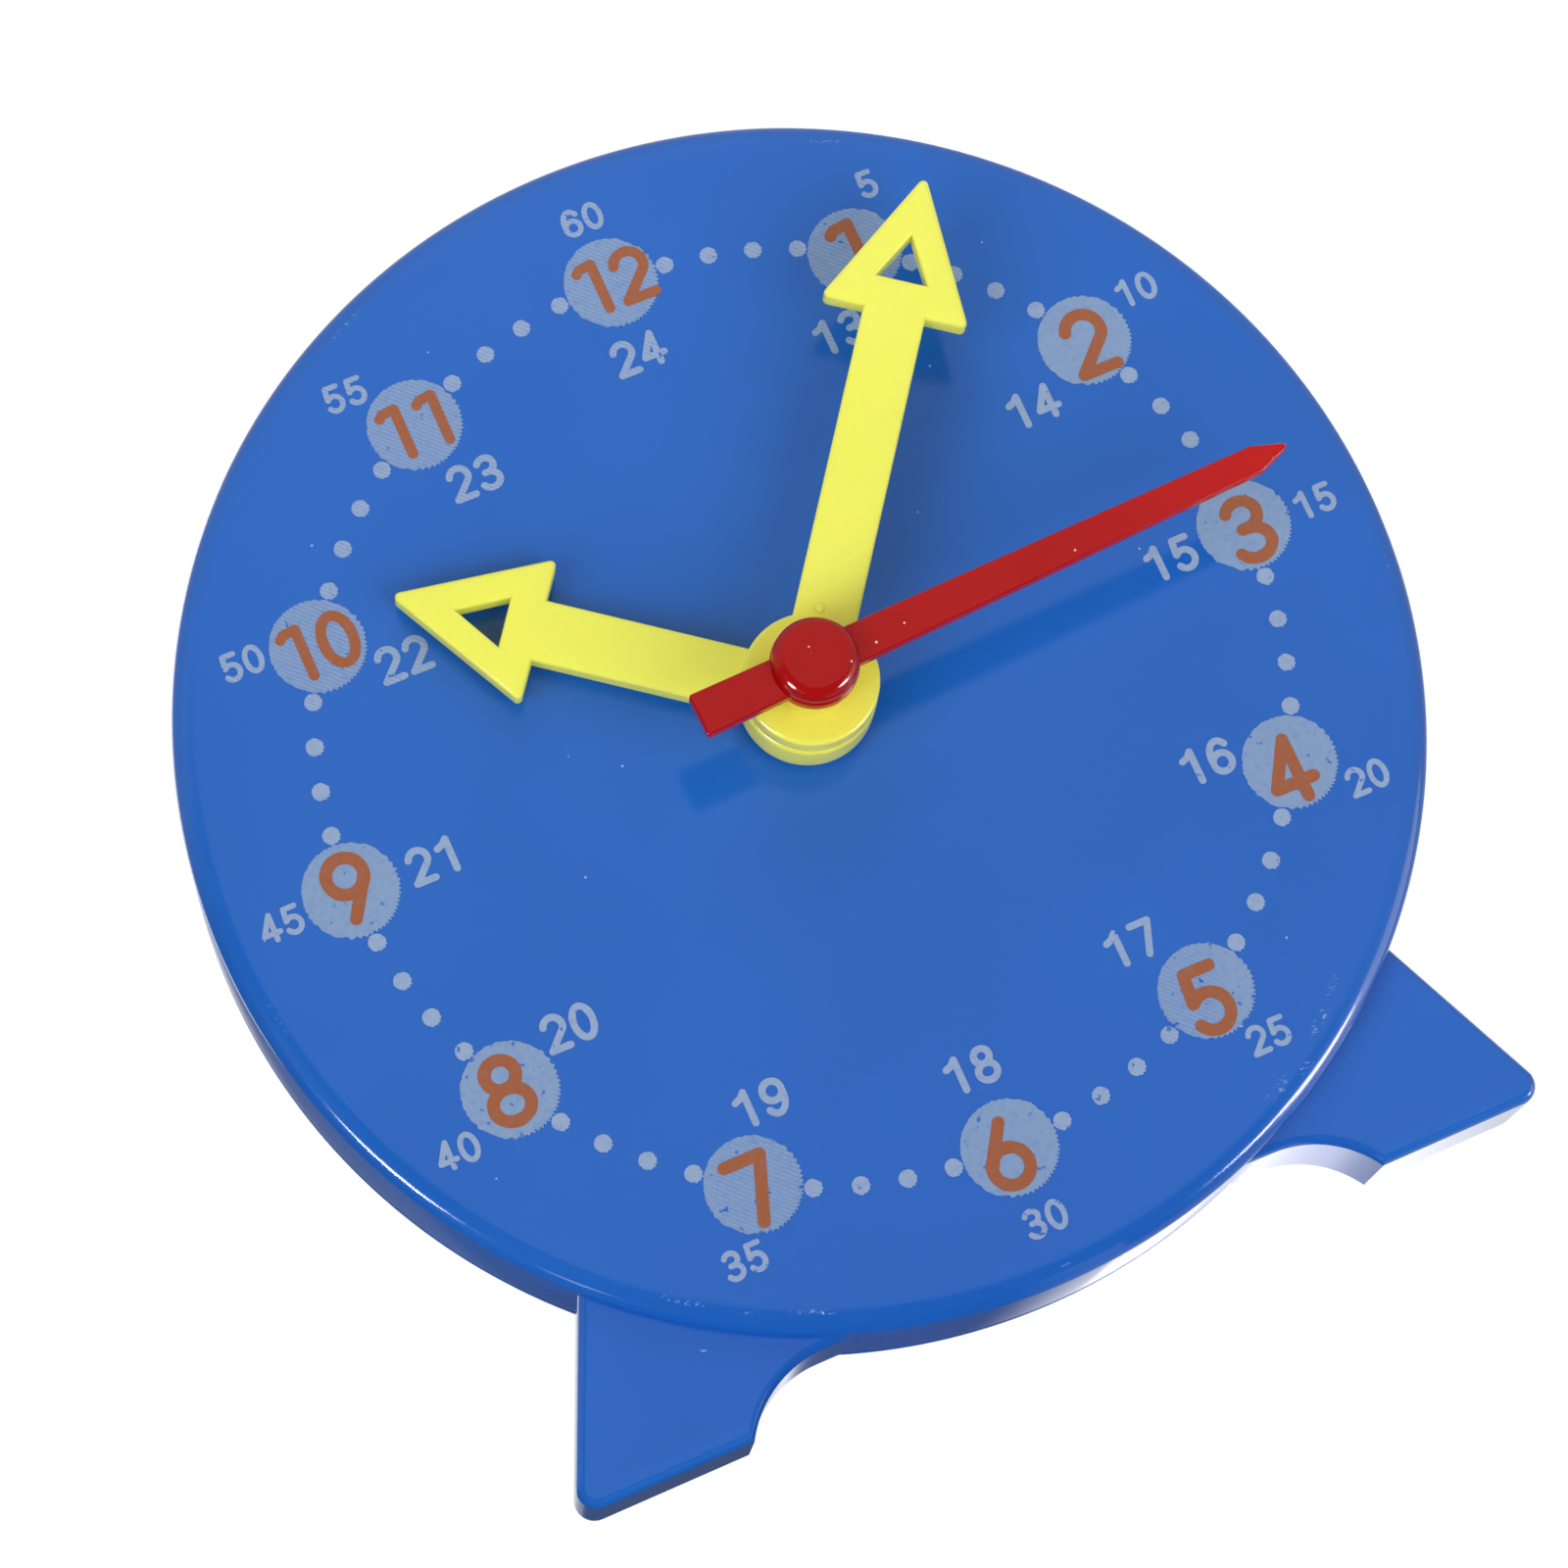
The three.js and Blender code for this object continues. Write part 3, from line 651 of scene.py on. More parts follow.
def foot(side):
    """A foot, hollow behind with a rib; the side is 1 for the right one and -1 for the left."""
    def mirrored(loop):
        return [Vector((side * p.x, p.y)) for p in (loop if side > 0 else reversed(loop))]

    block = plate([mirrored(foot_outline(0))], FOOT_FRONT, CASE_DEPTH, 0.7, 0.0, 6)
    pocket = plate([mirrored(foot_outline(FOOT_WALL))], FOOT_FRONT + FOOT_WALL, CASE_DEPTH + 1)
    left, right = side * RIB_X - RIB_HALF, side * RIB_X + RIB_HALF
    upright = [Vector(p) for p in ((left, -60), (left, 0), (right, 0), (right, -60))]
    rib = plate([upright], 0, CASE_DEPTH)
    pocket = cut(pocket, disc(DIAL_RADIUS, 0, CASE_DEPTH + 2, FINE), rib)
    return cut(block, disc(DIAL_RADIUS - RIM_WALL / 2, 0, CASE_DEPTH + 1, FINE), pocket)


def case_moulding():
    """The dial plate with its rim wall, the feet, and behind the dial the posts and the bearing."""
    inner = DIAL_RADIUS - RIM_WALL
    step = FACE_THICKNESS + 0.6
    quarter = [math.radians(7.5 * k) for k in range(13)]
    rim = [
        (DIAL_RADIUS - RIM_ROUND_WIDTH * (1 - math.sin(a)), RIM_ROUND_DEPTH * (1 - math.cos(a)), 0)
        for a in quarter
    ]
    shell = spun([
        (HOUR_PIPE, -0.7, 0.12), (4.4, -0.7, 0.15), (4.4, 0, 0.12), (rim[0][0] - 0.1, 0, 0), *rim,
        (DIAL_RADIUS, CASE_DEPTH, 0.15), (inner, CASE_DEPTH, 0.1), (inner, FACE_THICKNESS, 0.4),
        (HOUR_BEARING, FACE_THICKNESS, 0.1), (HOUR_BEARING, step, 0.1), (HOUR_PIPE, step, 0.1),
    ], FINE, 6)
    posts = [disc(2.8, 1.0, 2.6, 48, POST_PLACE), disc(1.5, 1.0, 9.5, 48, POST_PLACE)]
    posts += [disc(3.0, 1.0, 9.2, 48, p) for p in SCREW_PLACES]
    bores = [disc(0.9, 2.0, 12.0, 32, POST_PLACE)]
    bores += [disc(1.4, 2.0, 12.0, 32, p) for p in SCREW_PLACES]
    return cut(joined(shell, foot(1), foot(-1), *posts), *bores)


def cover_moulding():
    """The back shell with the spigot that centres it in the case, and its screw cups."""
    spigot = DIAL_RADIUS - RIM_WALL - FIT
    edge, collar = COVER_FRONT - 1.5, COVER_BACK + 1.2
    shell = spun([
        (2.7, COVER_FRONT, 0), (spigot - 1.5, COVER_FRONT, 0), (spigot - 1.5, edge, 0.1),
        (spigot, edge, 0.3), (spigot, COVER_FRONT, 0), (DIAL_RADIUS, COVER_FRONT, 0.12),
        (DIAL_RADIUS, COVER_BACK, 0.8), (4.6, COVER_BACK, 0.12), (4.6, collar, 0.25),
        (2.7, collar, 0.15),
    ], FINE, 6)
    cups = [disc(4.2, 9.5, 12.2, 64, p) for p in SCREW_PLACES]
    counterbore = [
        (0, 11.0, 0), (3.0, 11.0, 0), (3.0, COVER_BACK - 0.2, 0), (3.2, COVER_BACK, 0),
        (3.2, 14.0, 0), (0, 14.0, 0),
    ]
    bores = [spun(counterbore, 64, centre=p) for p in SCREW_PLACES]
    bores += [disc(1.4, 9.0, 12.0, 32, p) for p in SCREW_PLACES]
    return cut(joined(shell, *cups), *bores)


# Screws


def screw_moulding(head, head_height, shank, length, under):
    """A pan head screw with a cross recess; its head lies behind the level under."""
    top = under + head_height
    body = spun([
        (0, under - length, 0), (shank * 0.3, under - length, 0), (shank, under - length + 1.4, 0.2),
        (shank, under, 0.1), (head, under, 0.1), (head, top, head_height * 0.55), (0, top, 0),
    ], 64, 6)
    arm, width = head * 0.52, head * 0.13
    recess = top - head_height * 0.6
    corners = [(-width, arm), (width, arm), (width, width)]
    cross = []
    for _ in range(4):
        cross += [Vector(corner) for corner in corners]
        corners = [(y, -x) for x, y in corners]
    return cut(body, plate([cross], recess, top + 1), disc(head * 0.2, recess - 0.1, top + 1, 24))


# Hands

HAND_EDGE = 0.3
HAND_THICKNESS = 2.0
HAND_HUB = 5.4
BLADE_WIDTH = 5.05
HEAD_LENGTH = 12.2
HEAD_HALF = 6.1
HEAD_CORNER = 0.42
ARBOR_RADIUS = 2.0
PIN_RADIUS = 0.9
HOUR_REACH, HOUR_BACK = 33.9, -1.0
MINUTE_REACH, MINUTE_BACK = 43.6, -5.1
SECOND_REACH, SECOND_BACK = 41.4, -10.2
SECOND_THICKNESS = 1.2
CAP_RADIUS = 3.4
CAP_HEIGHT = 1.5
CAP_GROOVE = 0.14


def arrow_outline(reach):
    """An arrow with a round hub, and the triangular hole in its head."""
    half = BLADE_WIDTH / 2
    base = reach - HEAD_LENGTH
    leave = math.asin(half / HAND_HUB)
    head = softened([
        (-half, base, 0), (-HEAD_HALF, base, HEAD_CORNER), (0, reach, HEAD_CORNER),
        (HEAD_HALF, base, HEAD_CORNER), (half, base, 0),
    ])
    hub = arc((0, 0), HAND_HUB, leave, FULL_TURN - leave, 120)
    hole = [Vector((2.1, base + 2.8)), Vector((0, base + 6.8)), Vector((-2.1, base + 2.8))]
    return [hub + head, hole]


def boss(radius, front, back, corner, segments):
    """A round boss whose front edge is rounded."""
    return spun([(0, front, 0), (radius, front, corner), (radius, back, 0), (0, back, 0)], segments)


def hour_arrow():
    front = HOUR_BACK - HAND_THICKNESS
    blade = plate(arrow_outline(HOUR_REACH), front, HOUR_BACK, HAND_EDGE)
    collar = boss(5.45, front - 1.8, HOUR_BACK - 1.0, 0.45, 120)
    bore = plate([flatted(HOUR_PIPE)], front - 3, HOUR_BACK + 1)
    return rotated(cut(joined(blade, collar), bore), HOUR_ANGLE)


def minute_arrow():
    front = MINUTE_BACK - HAND_THICKNESS
    blade = plate(arrow_outline(MINUTE_REACH), front, MINUTE_BACK, HAND_EDGE)
    sleeve = boss(2.9, front - 2.8, MINUTE_BACK - 1.0, 0.2, 96)
    gate = spun([
        (0, front - 0.3, 0), (0.36, front - 0.3, 0.12), (0.5, front + 0.3, 0), (0, front + 0.3, 0),
    ], 32, 3, (-0.6, 5.7))
    bore = plate([flatted(ARBOR_RADIUS)], front - 4, MINUTE_BACK + 1)
    return rotated(cut(joined(blade, sleeve, gate), bore), MINUTE_ANGLE)


def second_blade():
    """A tapered blade with a tail, its hub, and a round cap with a groove under its edge."""
    back, reach = SECOND_BACK, SECOND_REACH
    front = back - SECOND_THICKNESS
    top = front - CAP_HEIGHT
    neck = CAP_RADIUS - CAP_GROOVE
    outline = softened([
        (-1.775, -10, 0.25), (-1.125, reach - 2.6, 0.25), (-0.2, reach, 0.19), (0.2, reach, 0.19),
        (1.125, reach - 2.6, 0.25), (1.775, -10, 0.25),
    ])
    blade = plate([outline], front, back, 0.15)
    hub = spun([(0, front + 0.15, 0), (3.5, front + 0.15, 0.15), (3.5, back, 0.1), (0, back, 0)], 120)
    cap = spun([
        (0, front - 1.38, 0), (1.4, front - 1.41, 0.8), (2.2, top, 0.25), (CAP_RADIUS, top, 1.05),
        (CAP_RADIUS, front - 0.2, 0.05), (neck, front - 0.1, 0.05), (neck, back - 0.6, 0),
        (0, back - 0.6, 0),
    ], 120, 8)
    bore = disc(PIN_RADIUS, -12.2, back + 1, 48)
    return rotated(cut(joined(blade, hub, cap), bore), SECOND_ANGLE)


# Geometry node trees

PLACE_INPUTS = {
    "Groups": 12, "Per Group": 1, "First Angle": 0.0, "Spacing": 0.0, "Radius": 40.0, "Depth": 0.0,
}
SHAPE = {"Geometry": "NodeSocketGeometry"}
# Points closer than this are merged
SEAM = 0.001


def places_on_a_circle():
    """Points in groups on a circle in the dial's plane."""
    tree, given, end = new_group("GeometryNodeTree", "places on a circle", PLACE_INPUTS, SHAPE)
    count = times(given["Groups"], given["Per Group"])
    index = node_in(tree, "GeometryNodeInputIndex")
    group = math_of("FLOOR", over(index, given["Per Group"]))
    within = minus(index, times(group, given["Per Group"]))
    middle = times(minus(given["Per Group"], 1.0), 0.5)
    shift = times(minus(within, middle), given["Spacing"])
    step = over(FULL_TURN, given["Groups"])
    angle = plus(times_plus(group, step, given["First Angle"]), shift)
    position = round_axis(angle, given["Radius"], given["Depth"])
    points = node("GeometryNodePoints", {"Count": count, "Position": position})
    fed(end, {"Geometry": points})
    return tree


PLACES = places_on_a_circle()


def placed_by(given):
    """The points that the tree's own inputs place on a circle."""
    inputs = {label: given[label] for label in PLACE_INPUTS}
    return node("GeometryNodeGroup", inputs, node_tree=PLACES).outputs[0]


def finished_tree(shape, given, end):
    """Ends a tree in Realize Instances and Set Material."""
    real = node("GeometryNodeRealizeInstances", {"Geometry": shape})
    values = {"Geometry": real, "Material": given["Material"]}
    fed(end, {"Geometry": node("GeometryNodeSetMaterial", values)})
    return end.id_data


def printed_spots():
    """Round spots of ink with an edge as ragged as the printing mesh leaves it."""
    tree, given, end = new_group(
        "GeometryNodeTree", "printed spots",
        {
            **PLACE_INPUTS, "Spot Radius": 3.85, "Film": 0.035, "Sides": 64, "Ragged": 0.1,
            "Material": "NodeSocketMaterial",
        },
        SHAPE,
    )
    places = placed_by(given)
    values = {"Vertices": given["Sides"], "Radius": given["Spot Radius"]}
    spot = node("GeometryNodeMeshCircle", values, fill_type="NGON")
    laid = node("GeometryNodeTransform", {"Geometry": spot, "Rotation": (math.pi / 2, 0, 0)})
    centre = node_in(tree, "GeometryNodeInputPosition")
    vector = {"data_type": "FLOAT_VECTOR"}
    values = {"Geometry": places, "Name": "spot_centre", "Value": centre}
    kept = node("GeometryNodeStoreNamedAttribute", values, domain="POINT", **vector)
    spots = node("GeometryNodeInstanceOnPoints", {"Points": kept, "Instance": laid})
    real = node("GeometryNodeRealizeInstances", {"Geometry": spots})
    named = node_in(tree, "GeometryNodeInputNamedAttribute", {"Name": "spot_centre"}, **vector)
    here = node_in(tree, "GeometryNodeInputPosition")
    outward = vector_of("NORMALIZE", vector_of("SUBTRACT", here, named))
    split = axes(here)
    across = plus(split["X"], split["Z"])
    phase = over(across, MESH_PITCH)
    teeth = math_of("SINE", times(phase, FULL_TURN / math.sqrt(2)))
    facing = value_of("DOT_PRODUCT", outward, (0.6, 0, -0.8))
    strength = times_plus(facing, 0.35, 0.45)
    uneven = minus(cloud(here, 2.2, 2.0), 0.55)
    amount = times_plus(times(teeth, strength), 0.5, uneven)
    amount = times(amount, given["Ragged"])
    offset = node("ShaderNodeVectorMath", {0: outward, "Scale": amount}, operation="SCALE")
    ragged = node("GeometryNodeSetPosition", {"Geometry": real, "Offset": offset})
    values = {"Mesh": ragged, "Offset": (0, -1, 0), "Offset Scale": given["Film"], "Individual": False}
    thick = node("GeometryNodeExtrudeMesh", values)
    under = node("GeometryNodeFlipFaces", {"Mesh": ragged})
    both = node_in(tree, "GeometryNodeJoinGeometry")
    tree.links.new(thick.outputs["Mesh"], both.inputs[0])
    tree.links.new(under.outputs["Mesh"], both.inputs[0])
    closed = node("GeometryNodeMergeByDistance", {"Geometry": both, "Distance": SEAM})
    return finished_tree(closed, given, end)


def screws_on_a_circle():
    """One screw repeated on a circle, each turned by chance."""
    tree, given, end = new_group(
        "GeometryNodeTree", "screws on a circle",
        {**PLACE_INPUTS, "Screw": "NodeSocketObject", "Seed": 5, "Material": "NodeSocketMaterial"},
        SHAPE,
    )
    places = placed_by(given)
    shape = node("GeometryNodeObjectInfo", {"Object": given["Screw"]})
    spin = node("FunctionNodeRandomValue", {"Max": FULL_TURN, "Seed": given["Seed"]}, data_type="FLOAT")
    turn = from_axes(0.0, spin.outputs[1])
    values = {"Points": places, "Instance": shape.outputs["Geometry"], "Rotation": turn}
    screws = node("GeometryNodeInstanceOnPoints", values)
    return finished_tree(screws, given, end)


def fluted_grip():
    """A turned profile whose outer side is scooped by flutes, as on a knob."""
    tree, given, end = new_group(
        "GeometryNodeTree", "fluted grip",
        {
            "Profile": "NodeSocketObject", "Profile Points": 80, "Sides": 400, "Flutes": 20,
            "Flute Depth": 0.45, "Flutes From": 8.2, "Material": "NodeSocketMaterial",
        },
        SHAPE,
    )
    shape = node("GeometryNodeObjectInfo", {"Object": given["Profile"]})
    rows = given["Profile Points"]
    sheet = node("GeometryNodeMeshGrid", {"Vertices X": plus(given["Sides"], 1.0), "Vertices Y": rows})
    index = node_in(tree, "GeometryNodeInputIndex")
    column = math_of("FLOOR", over(index, rows))
    row = minus(index, times(column, rows))
    angle = times(column, over(FULL_TURN, given["Sides"]))
    position = node_in(tree, "GeometryNodeInputPosition")
    values = {"Geometry": shape.outputs["Geometry"], "Value": position, "Index": row}
    taken = node("GeometryNodeSampleIndex", values, data_type="FLOAT_VECTOR", domain="POINT")
    split = axes(taken)
    radius = split["X"]
    weight = ramp(radius, given["Flutes From"], plus(given["Flutes From"], 1.2))
    scoop = math_of("COSINE", times(angle, given["Flutes"]))
    scoop = times(minus(1.0, scoop), 0.5)
    scoop = times(times(scoop, weight), given["Flute Depth"])
    radius = minus(radius, scoop)
    moves = {"Geometry": sheet, "Position": round_axis(angle, radius, split["Y"])}
    bent = node("GeometryNodeSetPosition", moves)
    closed = node("GeometryNodeMergeByDistance", {"Geometry": bent, "Distance": SEAM})
    return finished_tree(closed, given, end)


def grown(tree, values):
    """The mesh that a node tree makes with the given named inputs."""
    holder = link(bpy.data.meshes.new("seed"), "growing")
    modifier = holder.modifiers.new("tree", "NODES")
    modifier.node_group = tree
    sockets = {item.name: item.identifier for item in tree.interface.items_tree}
    for label, value in values.items():
        modifier[sockets[label]] = value
    return evaluated_mesh(holder)


def outward(mesh):
    """A copy with merged seams and its faces turned outwards."""
    built = bmesh.new()
    built.from_mesh(mesh)
    return mesh_from(built)


# Knob

KNOB_RADIUS = 10.0
KNOB_FRONT = 13.6
KNOB_BACK = 20.0


def knob_moulding():
    """The fluted knob with a hollow for the friction ring and a seat for its screw's head."""
    profile = softened([
        (0.9, 14.8, 0), (7.6, 14.8, 0.1), (7.6, KNOB_FRONT, 0.1), (KNOB_RADIUS, KNOB_FRONT, 0.8),
        (KNOB_RADIUS, KNOB_BACK, 0.8), (3.4, KNOB_BACK, 0.3), (3.4, 18.2, 0.2), (0.9, 18.2, 0),
    ], 6)
    line = bpy.data.meshes.new("profile")
    line.from_pydata([(radius, depth, 0) for radius, depth in profile + profile[:1]], [], [])
    holder = link(line, "knob_profile")
    values = {"Profile": holder, "Profile Points": len(profile) + 1, "Material": blue_gloss}
    mesh = grown(fluted_grip(), values)
    bpy.data.objects.remove(holder)
    seat = plate([flatted(2.7)], 14.0, 17.3)
    return rotated(cut(outward(mesh), seat), MINUTE_ANGLE)


# Print: the strokes of a digit are centred on x and reach from 0 to 1 in height. The hour numerals
# have plain digits, with a flat flag on the 1 and straight stems on the 6 and the 9.

DIGIT_RATIO = 0.665
FILM_BACK = 0.005


def ellipse(cx, cy, rx, ry, start, end):
    """Points on an ellipse from one angle to another, in degrees from its right end."""
    steps = max(4, int(abs(end - start) / 12))
    angles = [math.radians(start + (end - start) * k / steps) for k in range(steps + 1)]
    return [(cx + rx * math.cos(a), cy + ry * math.sin(a)) for a in angles]


DIGITS = {
    "0": [ellipse(0, 0.5, 0.5, 0.5, 0, 360)],
    "1": [[(0.14, 0), (0.14, 1)], [(0.14, 1), (-0.08, 0.86), (-0.42, 0.78)]],
    "2": [ellipse(0, 0.7, 0.5, 0.3, 165, -28) + [(-0.5, 0)], [(-0.5, 0), (0.5, 0)]],
    "3": [
        ellipse(-0.02, 0.76, 0.44, 0.24, 155, -90), ellipse(-0.02, 0.26, 0.5, 0.26, 90, -155),
        [(-0.16, 0.52), (0.02, 0.52)],
    ],
    "4": [[(0.2, 1), (-0.52, 0.27)], [(-0.52, 0.27), (0.56, 0.27)], [(0.2, 1), (0.2, 0)]],
    "5": [
        [(-0.32, 1), (0.42, 1)], [(-0.32, 1), (-0.4, 0.52)], ellipse(-0.02, 0.31, 0.5, 0.31, 138, -150),
    ],
    "6": [ellipse(0, 0.3, 0.5, 0.3, 0, 360), ellipse(0.06, 0.48, 0.56, 0.52, 42, 188)],
    "7": [[(-0.5, 1), (0.5, 1)], [(0.5, 1), (-0.1, 0)]],
    "8": [ellipse(0, 0.765, 0.41, 0.235, 0, 360), ellipse(0, 0.265, 0.5, 0.265, 0, 360)],
}
PLAIN_DIGITS = {
    **DIGITS,
    "1": [[(0.14, 0), (0.14, 1)], [(0.14, 1), (-0.3, 0.97), (-0.42, 0.9)]],
    "6": [ellipse(0, 0.3, 0.5, 0.3, 0, 360), [(-0.44, 0.42), (0.16, 1)]],
}
for digits in (DIGITS, PLAIN_DIGITS):
    digits["9"] = [[(-x, 1 - y) for x, y in stroke] for stroke in digits["6"]]


def number_strokes(text, centre, height, stroke, advance, digits):
    """Every stroke of a number as points in the dial's plane."""
    inner_height = height - stroke
    inner_width = height * DIGIT_RATIO - stroke
    strokes = []
    for i, digit in enumerate(text):
        x0 = centre[0] + (i - (len(text) - 1) / 2) * advance
        y0 = centre[1] - inner_height / 2
        for points in digits[digit]:
            strokes.append([Vector((x0 + x * inner_width, y0 + y * inner_height)) for x, y in points])
    return strokes


def ribbon(points, half):
    """A stroke's faces: a quad for each step and a round end at both ends of an open stroke."""
    closed = (points[0] - points[-1]).length < 1e-6
    if closed:
        points = points[:-1]
    count = len(points)
    sides = []
    for i, point in enumerate(points):
        before = points[i - 1] if closed or i else point
        after = points[(i + 1) % count] if closed or i < count - 1 else point
        along = (after - before).normalized()
        wander = half * (1 + 0.09 * noise.noise(Vector((point.x * 1.7, point.y * 1.7, 3.1))))
        normal = Vector((-along.y, along.x)) * wander
        sides.append((point + normal, point - normal))
    faces = []
    for i in range(count if closed else count - 1):
        a, b = sides[i], sides[(i + 1) % count]
        faces.append([a[0], a[1], b[1], b[0]])
    if not closed:
        for end in (points[0], points[-1]):
            faces.append([end + at(half, -FULL_TURN * k / 18) for k in range(18)])
    return faces


def film(strokes, stroke, front, back, built):
    """The strokes' outlines united into one closed film of ink and added to a bmesh."""
    verts, faces = [], []
    for points in strokes:
        for face in ribbon(points, stroke / 2):
            faces.append(list(range(len(verts), len(verts) + len(face))))
            verts.extend(face)
    found = geometry.delaunay_2d_cdt(verts, [], faces, 1, 1e-5)
    points, triangles, origins = found[0], found[2], found[5]
    kept = [t for t, origin in zip(triangles, origins) if origin]
    top = [built.verts.new((p.x, front, p.y)) for p in points]
    low = [built.verts.new((p.x, back, p.y)) for p in points]
    edges = {}
    for t in kept:
        built.faces.new([top[i] for i in t])
        built.faces.new([low[i] for i in reversed(t)])
        edges.update(dict.fromkeys(zip(t, t[1:] + t[:1])))
    for i, j in edges:
        if (j, i) not in edges:
            built.faces.new((top[i], top[j], low[j], low[i]))
    loose = [v for v in top + low if not v.link_faces]
    bmesh.ops.delete(built, geom=loose, context="VERTS")


def numbers(places, base, step, height, stroke, advance):
    """A number at each place. The first place, at the top, has the highest number."""
    built = bmesh.new()
    for k, place in enumerate(places):
        text = str(base + step * (k or len(places)))
        strokes = number_strokes(text, place, height, stroke, advance, DIGITS)
        film(strokes, stroke, -0.03, FILM_BACK, built)
    return mesh_from(built)


# Places of the minute numbers from 60 and of the afternoon numbers from 24, clockwise
OUTER_PLACES = [
    (0, 44.75), (22.8, 38.7), (39.4, 21.8), (45, -0.4), (38.8, -23), (22.4, -38.8), (0.2, -45),
    (-22.4, -38.8), (-39.2, -22.3), (-44.8, -0.4), (-39.6, 20.4), (-23.6, 38.1),
]
INNER_PLACES = [
    (-0.4, 32.3), (15.4, 27.7), (27.3, 15.8), (32.1, -0.3), (27.5, -16.8), (15.6, -27.9), (-0.2, -32.1),
    (-16.3, -28), (-27.5, -16.7), (-31.9, -0.3), (-27.8, 15.8), (-16.7, 27.6),
]
# How far the hour numerals from 1 to 12 lie off the middle of their spots
NUMERAL_SHIFTS = [
    (0, 0), (0.2, -0.3), (0.2, -0.5), (-0.4, -0.6), (-0.2, -0.7), (-0.5, -0.4), (-0.1, -0.5), (-0.3, 0),
    (0, 0.2), (0.1, -0.1), (0.2, -0.2), (0.3, 0),
]
SPOT_CIRCLE = 38.82


def hour_numerals():
    """The hour numerals: single digits are larger than the two-digit ones."""
    built = bmesh.new()
    for hour, shift in enumerate(NUMERAL_SHIFTS, 1):
        centre = at(SPOT_CIRCLE, math.radians(30 * hour)) + Vector(shift)
        height, stroke, advance = (6.0, 1.0, 0) if hour < 10 else (4.95, 0.85, 3.2)
        strokes = number_strokes(str(hour), centre, height, stroke, advance, PLAIN_DIGITS)
        film(strokes, stroke, -0.06, -0.02, built)
    return mesh_from(built)


# Pieces on the case

fitted("case_moulding", case_moulding(), case_gloss, "case", ["front_case"])
fitted("cover_moulding", cover_moulding(), blue_satin, "case", ["rear_cover"])

template = link(screw_moulding(2.7, 1.4, 1.1, 6.8, 11.3), "screw_template")
cover_screws = grown(screws_on_a_circle(), {
    "Groups": 4, "First Angle": math.radians(45), "Radius": SCREW_CIRCLE, "Screw": template, "Seed": 7,
    "Material": steel,
})
bpy.data.objects.remove(template)
fitted("cover_screws", cover_screws, steel, "case", [f"cover_screw_{i}" for i in (1, 2, 3, 4)])

spots = printed_spots()
fitted("hour_spots", grown(spots, {
    "Radius": SPOT_CIRCLE, "Depth": FILM_BACK, "Spot Radius": 3.85, "Sides": 480, "Ragged": 0.26,
    "Material": pale_ink,
}), pale_ink, "case")
fitted("minute_dots", grown(spots, {
    "Per Group": 4, "First Angle": math.radians(15), "Spacing": math.radians(5.42),
    "Radius": SPOT_CIRCLE, "Depth": FILM_BACK, "Spot Radius": 0.72, "Sides": 72, "Ragged": 0.12,
    "Material": dot_ink,
}), dot_ink, "case")
fitted("minute_numbers", numbers(OUTER_PLACES, 0, 5, 2.5, 0.45, 1.86), dot_ink, "case")
fitted("afternoon_numbers", numbers(INNER_PLACES, 12, 1, 3.15, 0.57, 2.35), dot_ink, "case")
fitted("hour_numerals", hour_numerals(), brown_ink, "case")

# Hands and knob

fitted("hour_arrow", hour_arrow(), yellow_gloss, "hour", ["hour_hand"])
fitted("minute_arrow", minute_arrow(), yellow_gloss, "minute", ["minute_hand"])
fitted("second_blade", second_blade(), red_gloss, "second", ["second_hand"])
fitted("knob_moulding", knob_moulding(), blue_gloss, "minute", ["setting_knob"])
knob_screw = rotated(screw_moulding(2.8, 1.2, 0.6, 6.5, 18.5), math.radians(20))
fitted("knob_fixing_screw", knob_screw, steel, "minute", ["knob_screw"])

# Nodes of the movement that keep their own shapes

for name, finish in {
    "minute_arbor": acetal, "minute_pinion": acetal, "transfer_gear": acetal, "hour_wheel": acetal,
    "train_spacer": acetal, "transfer_washer": steel, "transfer_screw": steel, "second_pin": steel,
    "friction_ring": rubber,
}.items():
    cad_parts[name].material_slots[0].material = finish


# Floor, surround and lamps

WHITE = (1, 1, 1, 1)


def shaders_mixed(factor, a, b):
    return node("ShaderNodeMixShader", {0: factor, 1: a, 2: b})


def glowing(tree, kind, strength, tint=WHITE):
    return node_in(tree, kind, {"Color": tint, "Strength": strength})


def mirror_ray(path):
    return larger(path["Is Glossy Ray"], path["Is Transmission Ray"])


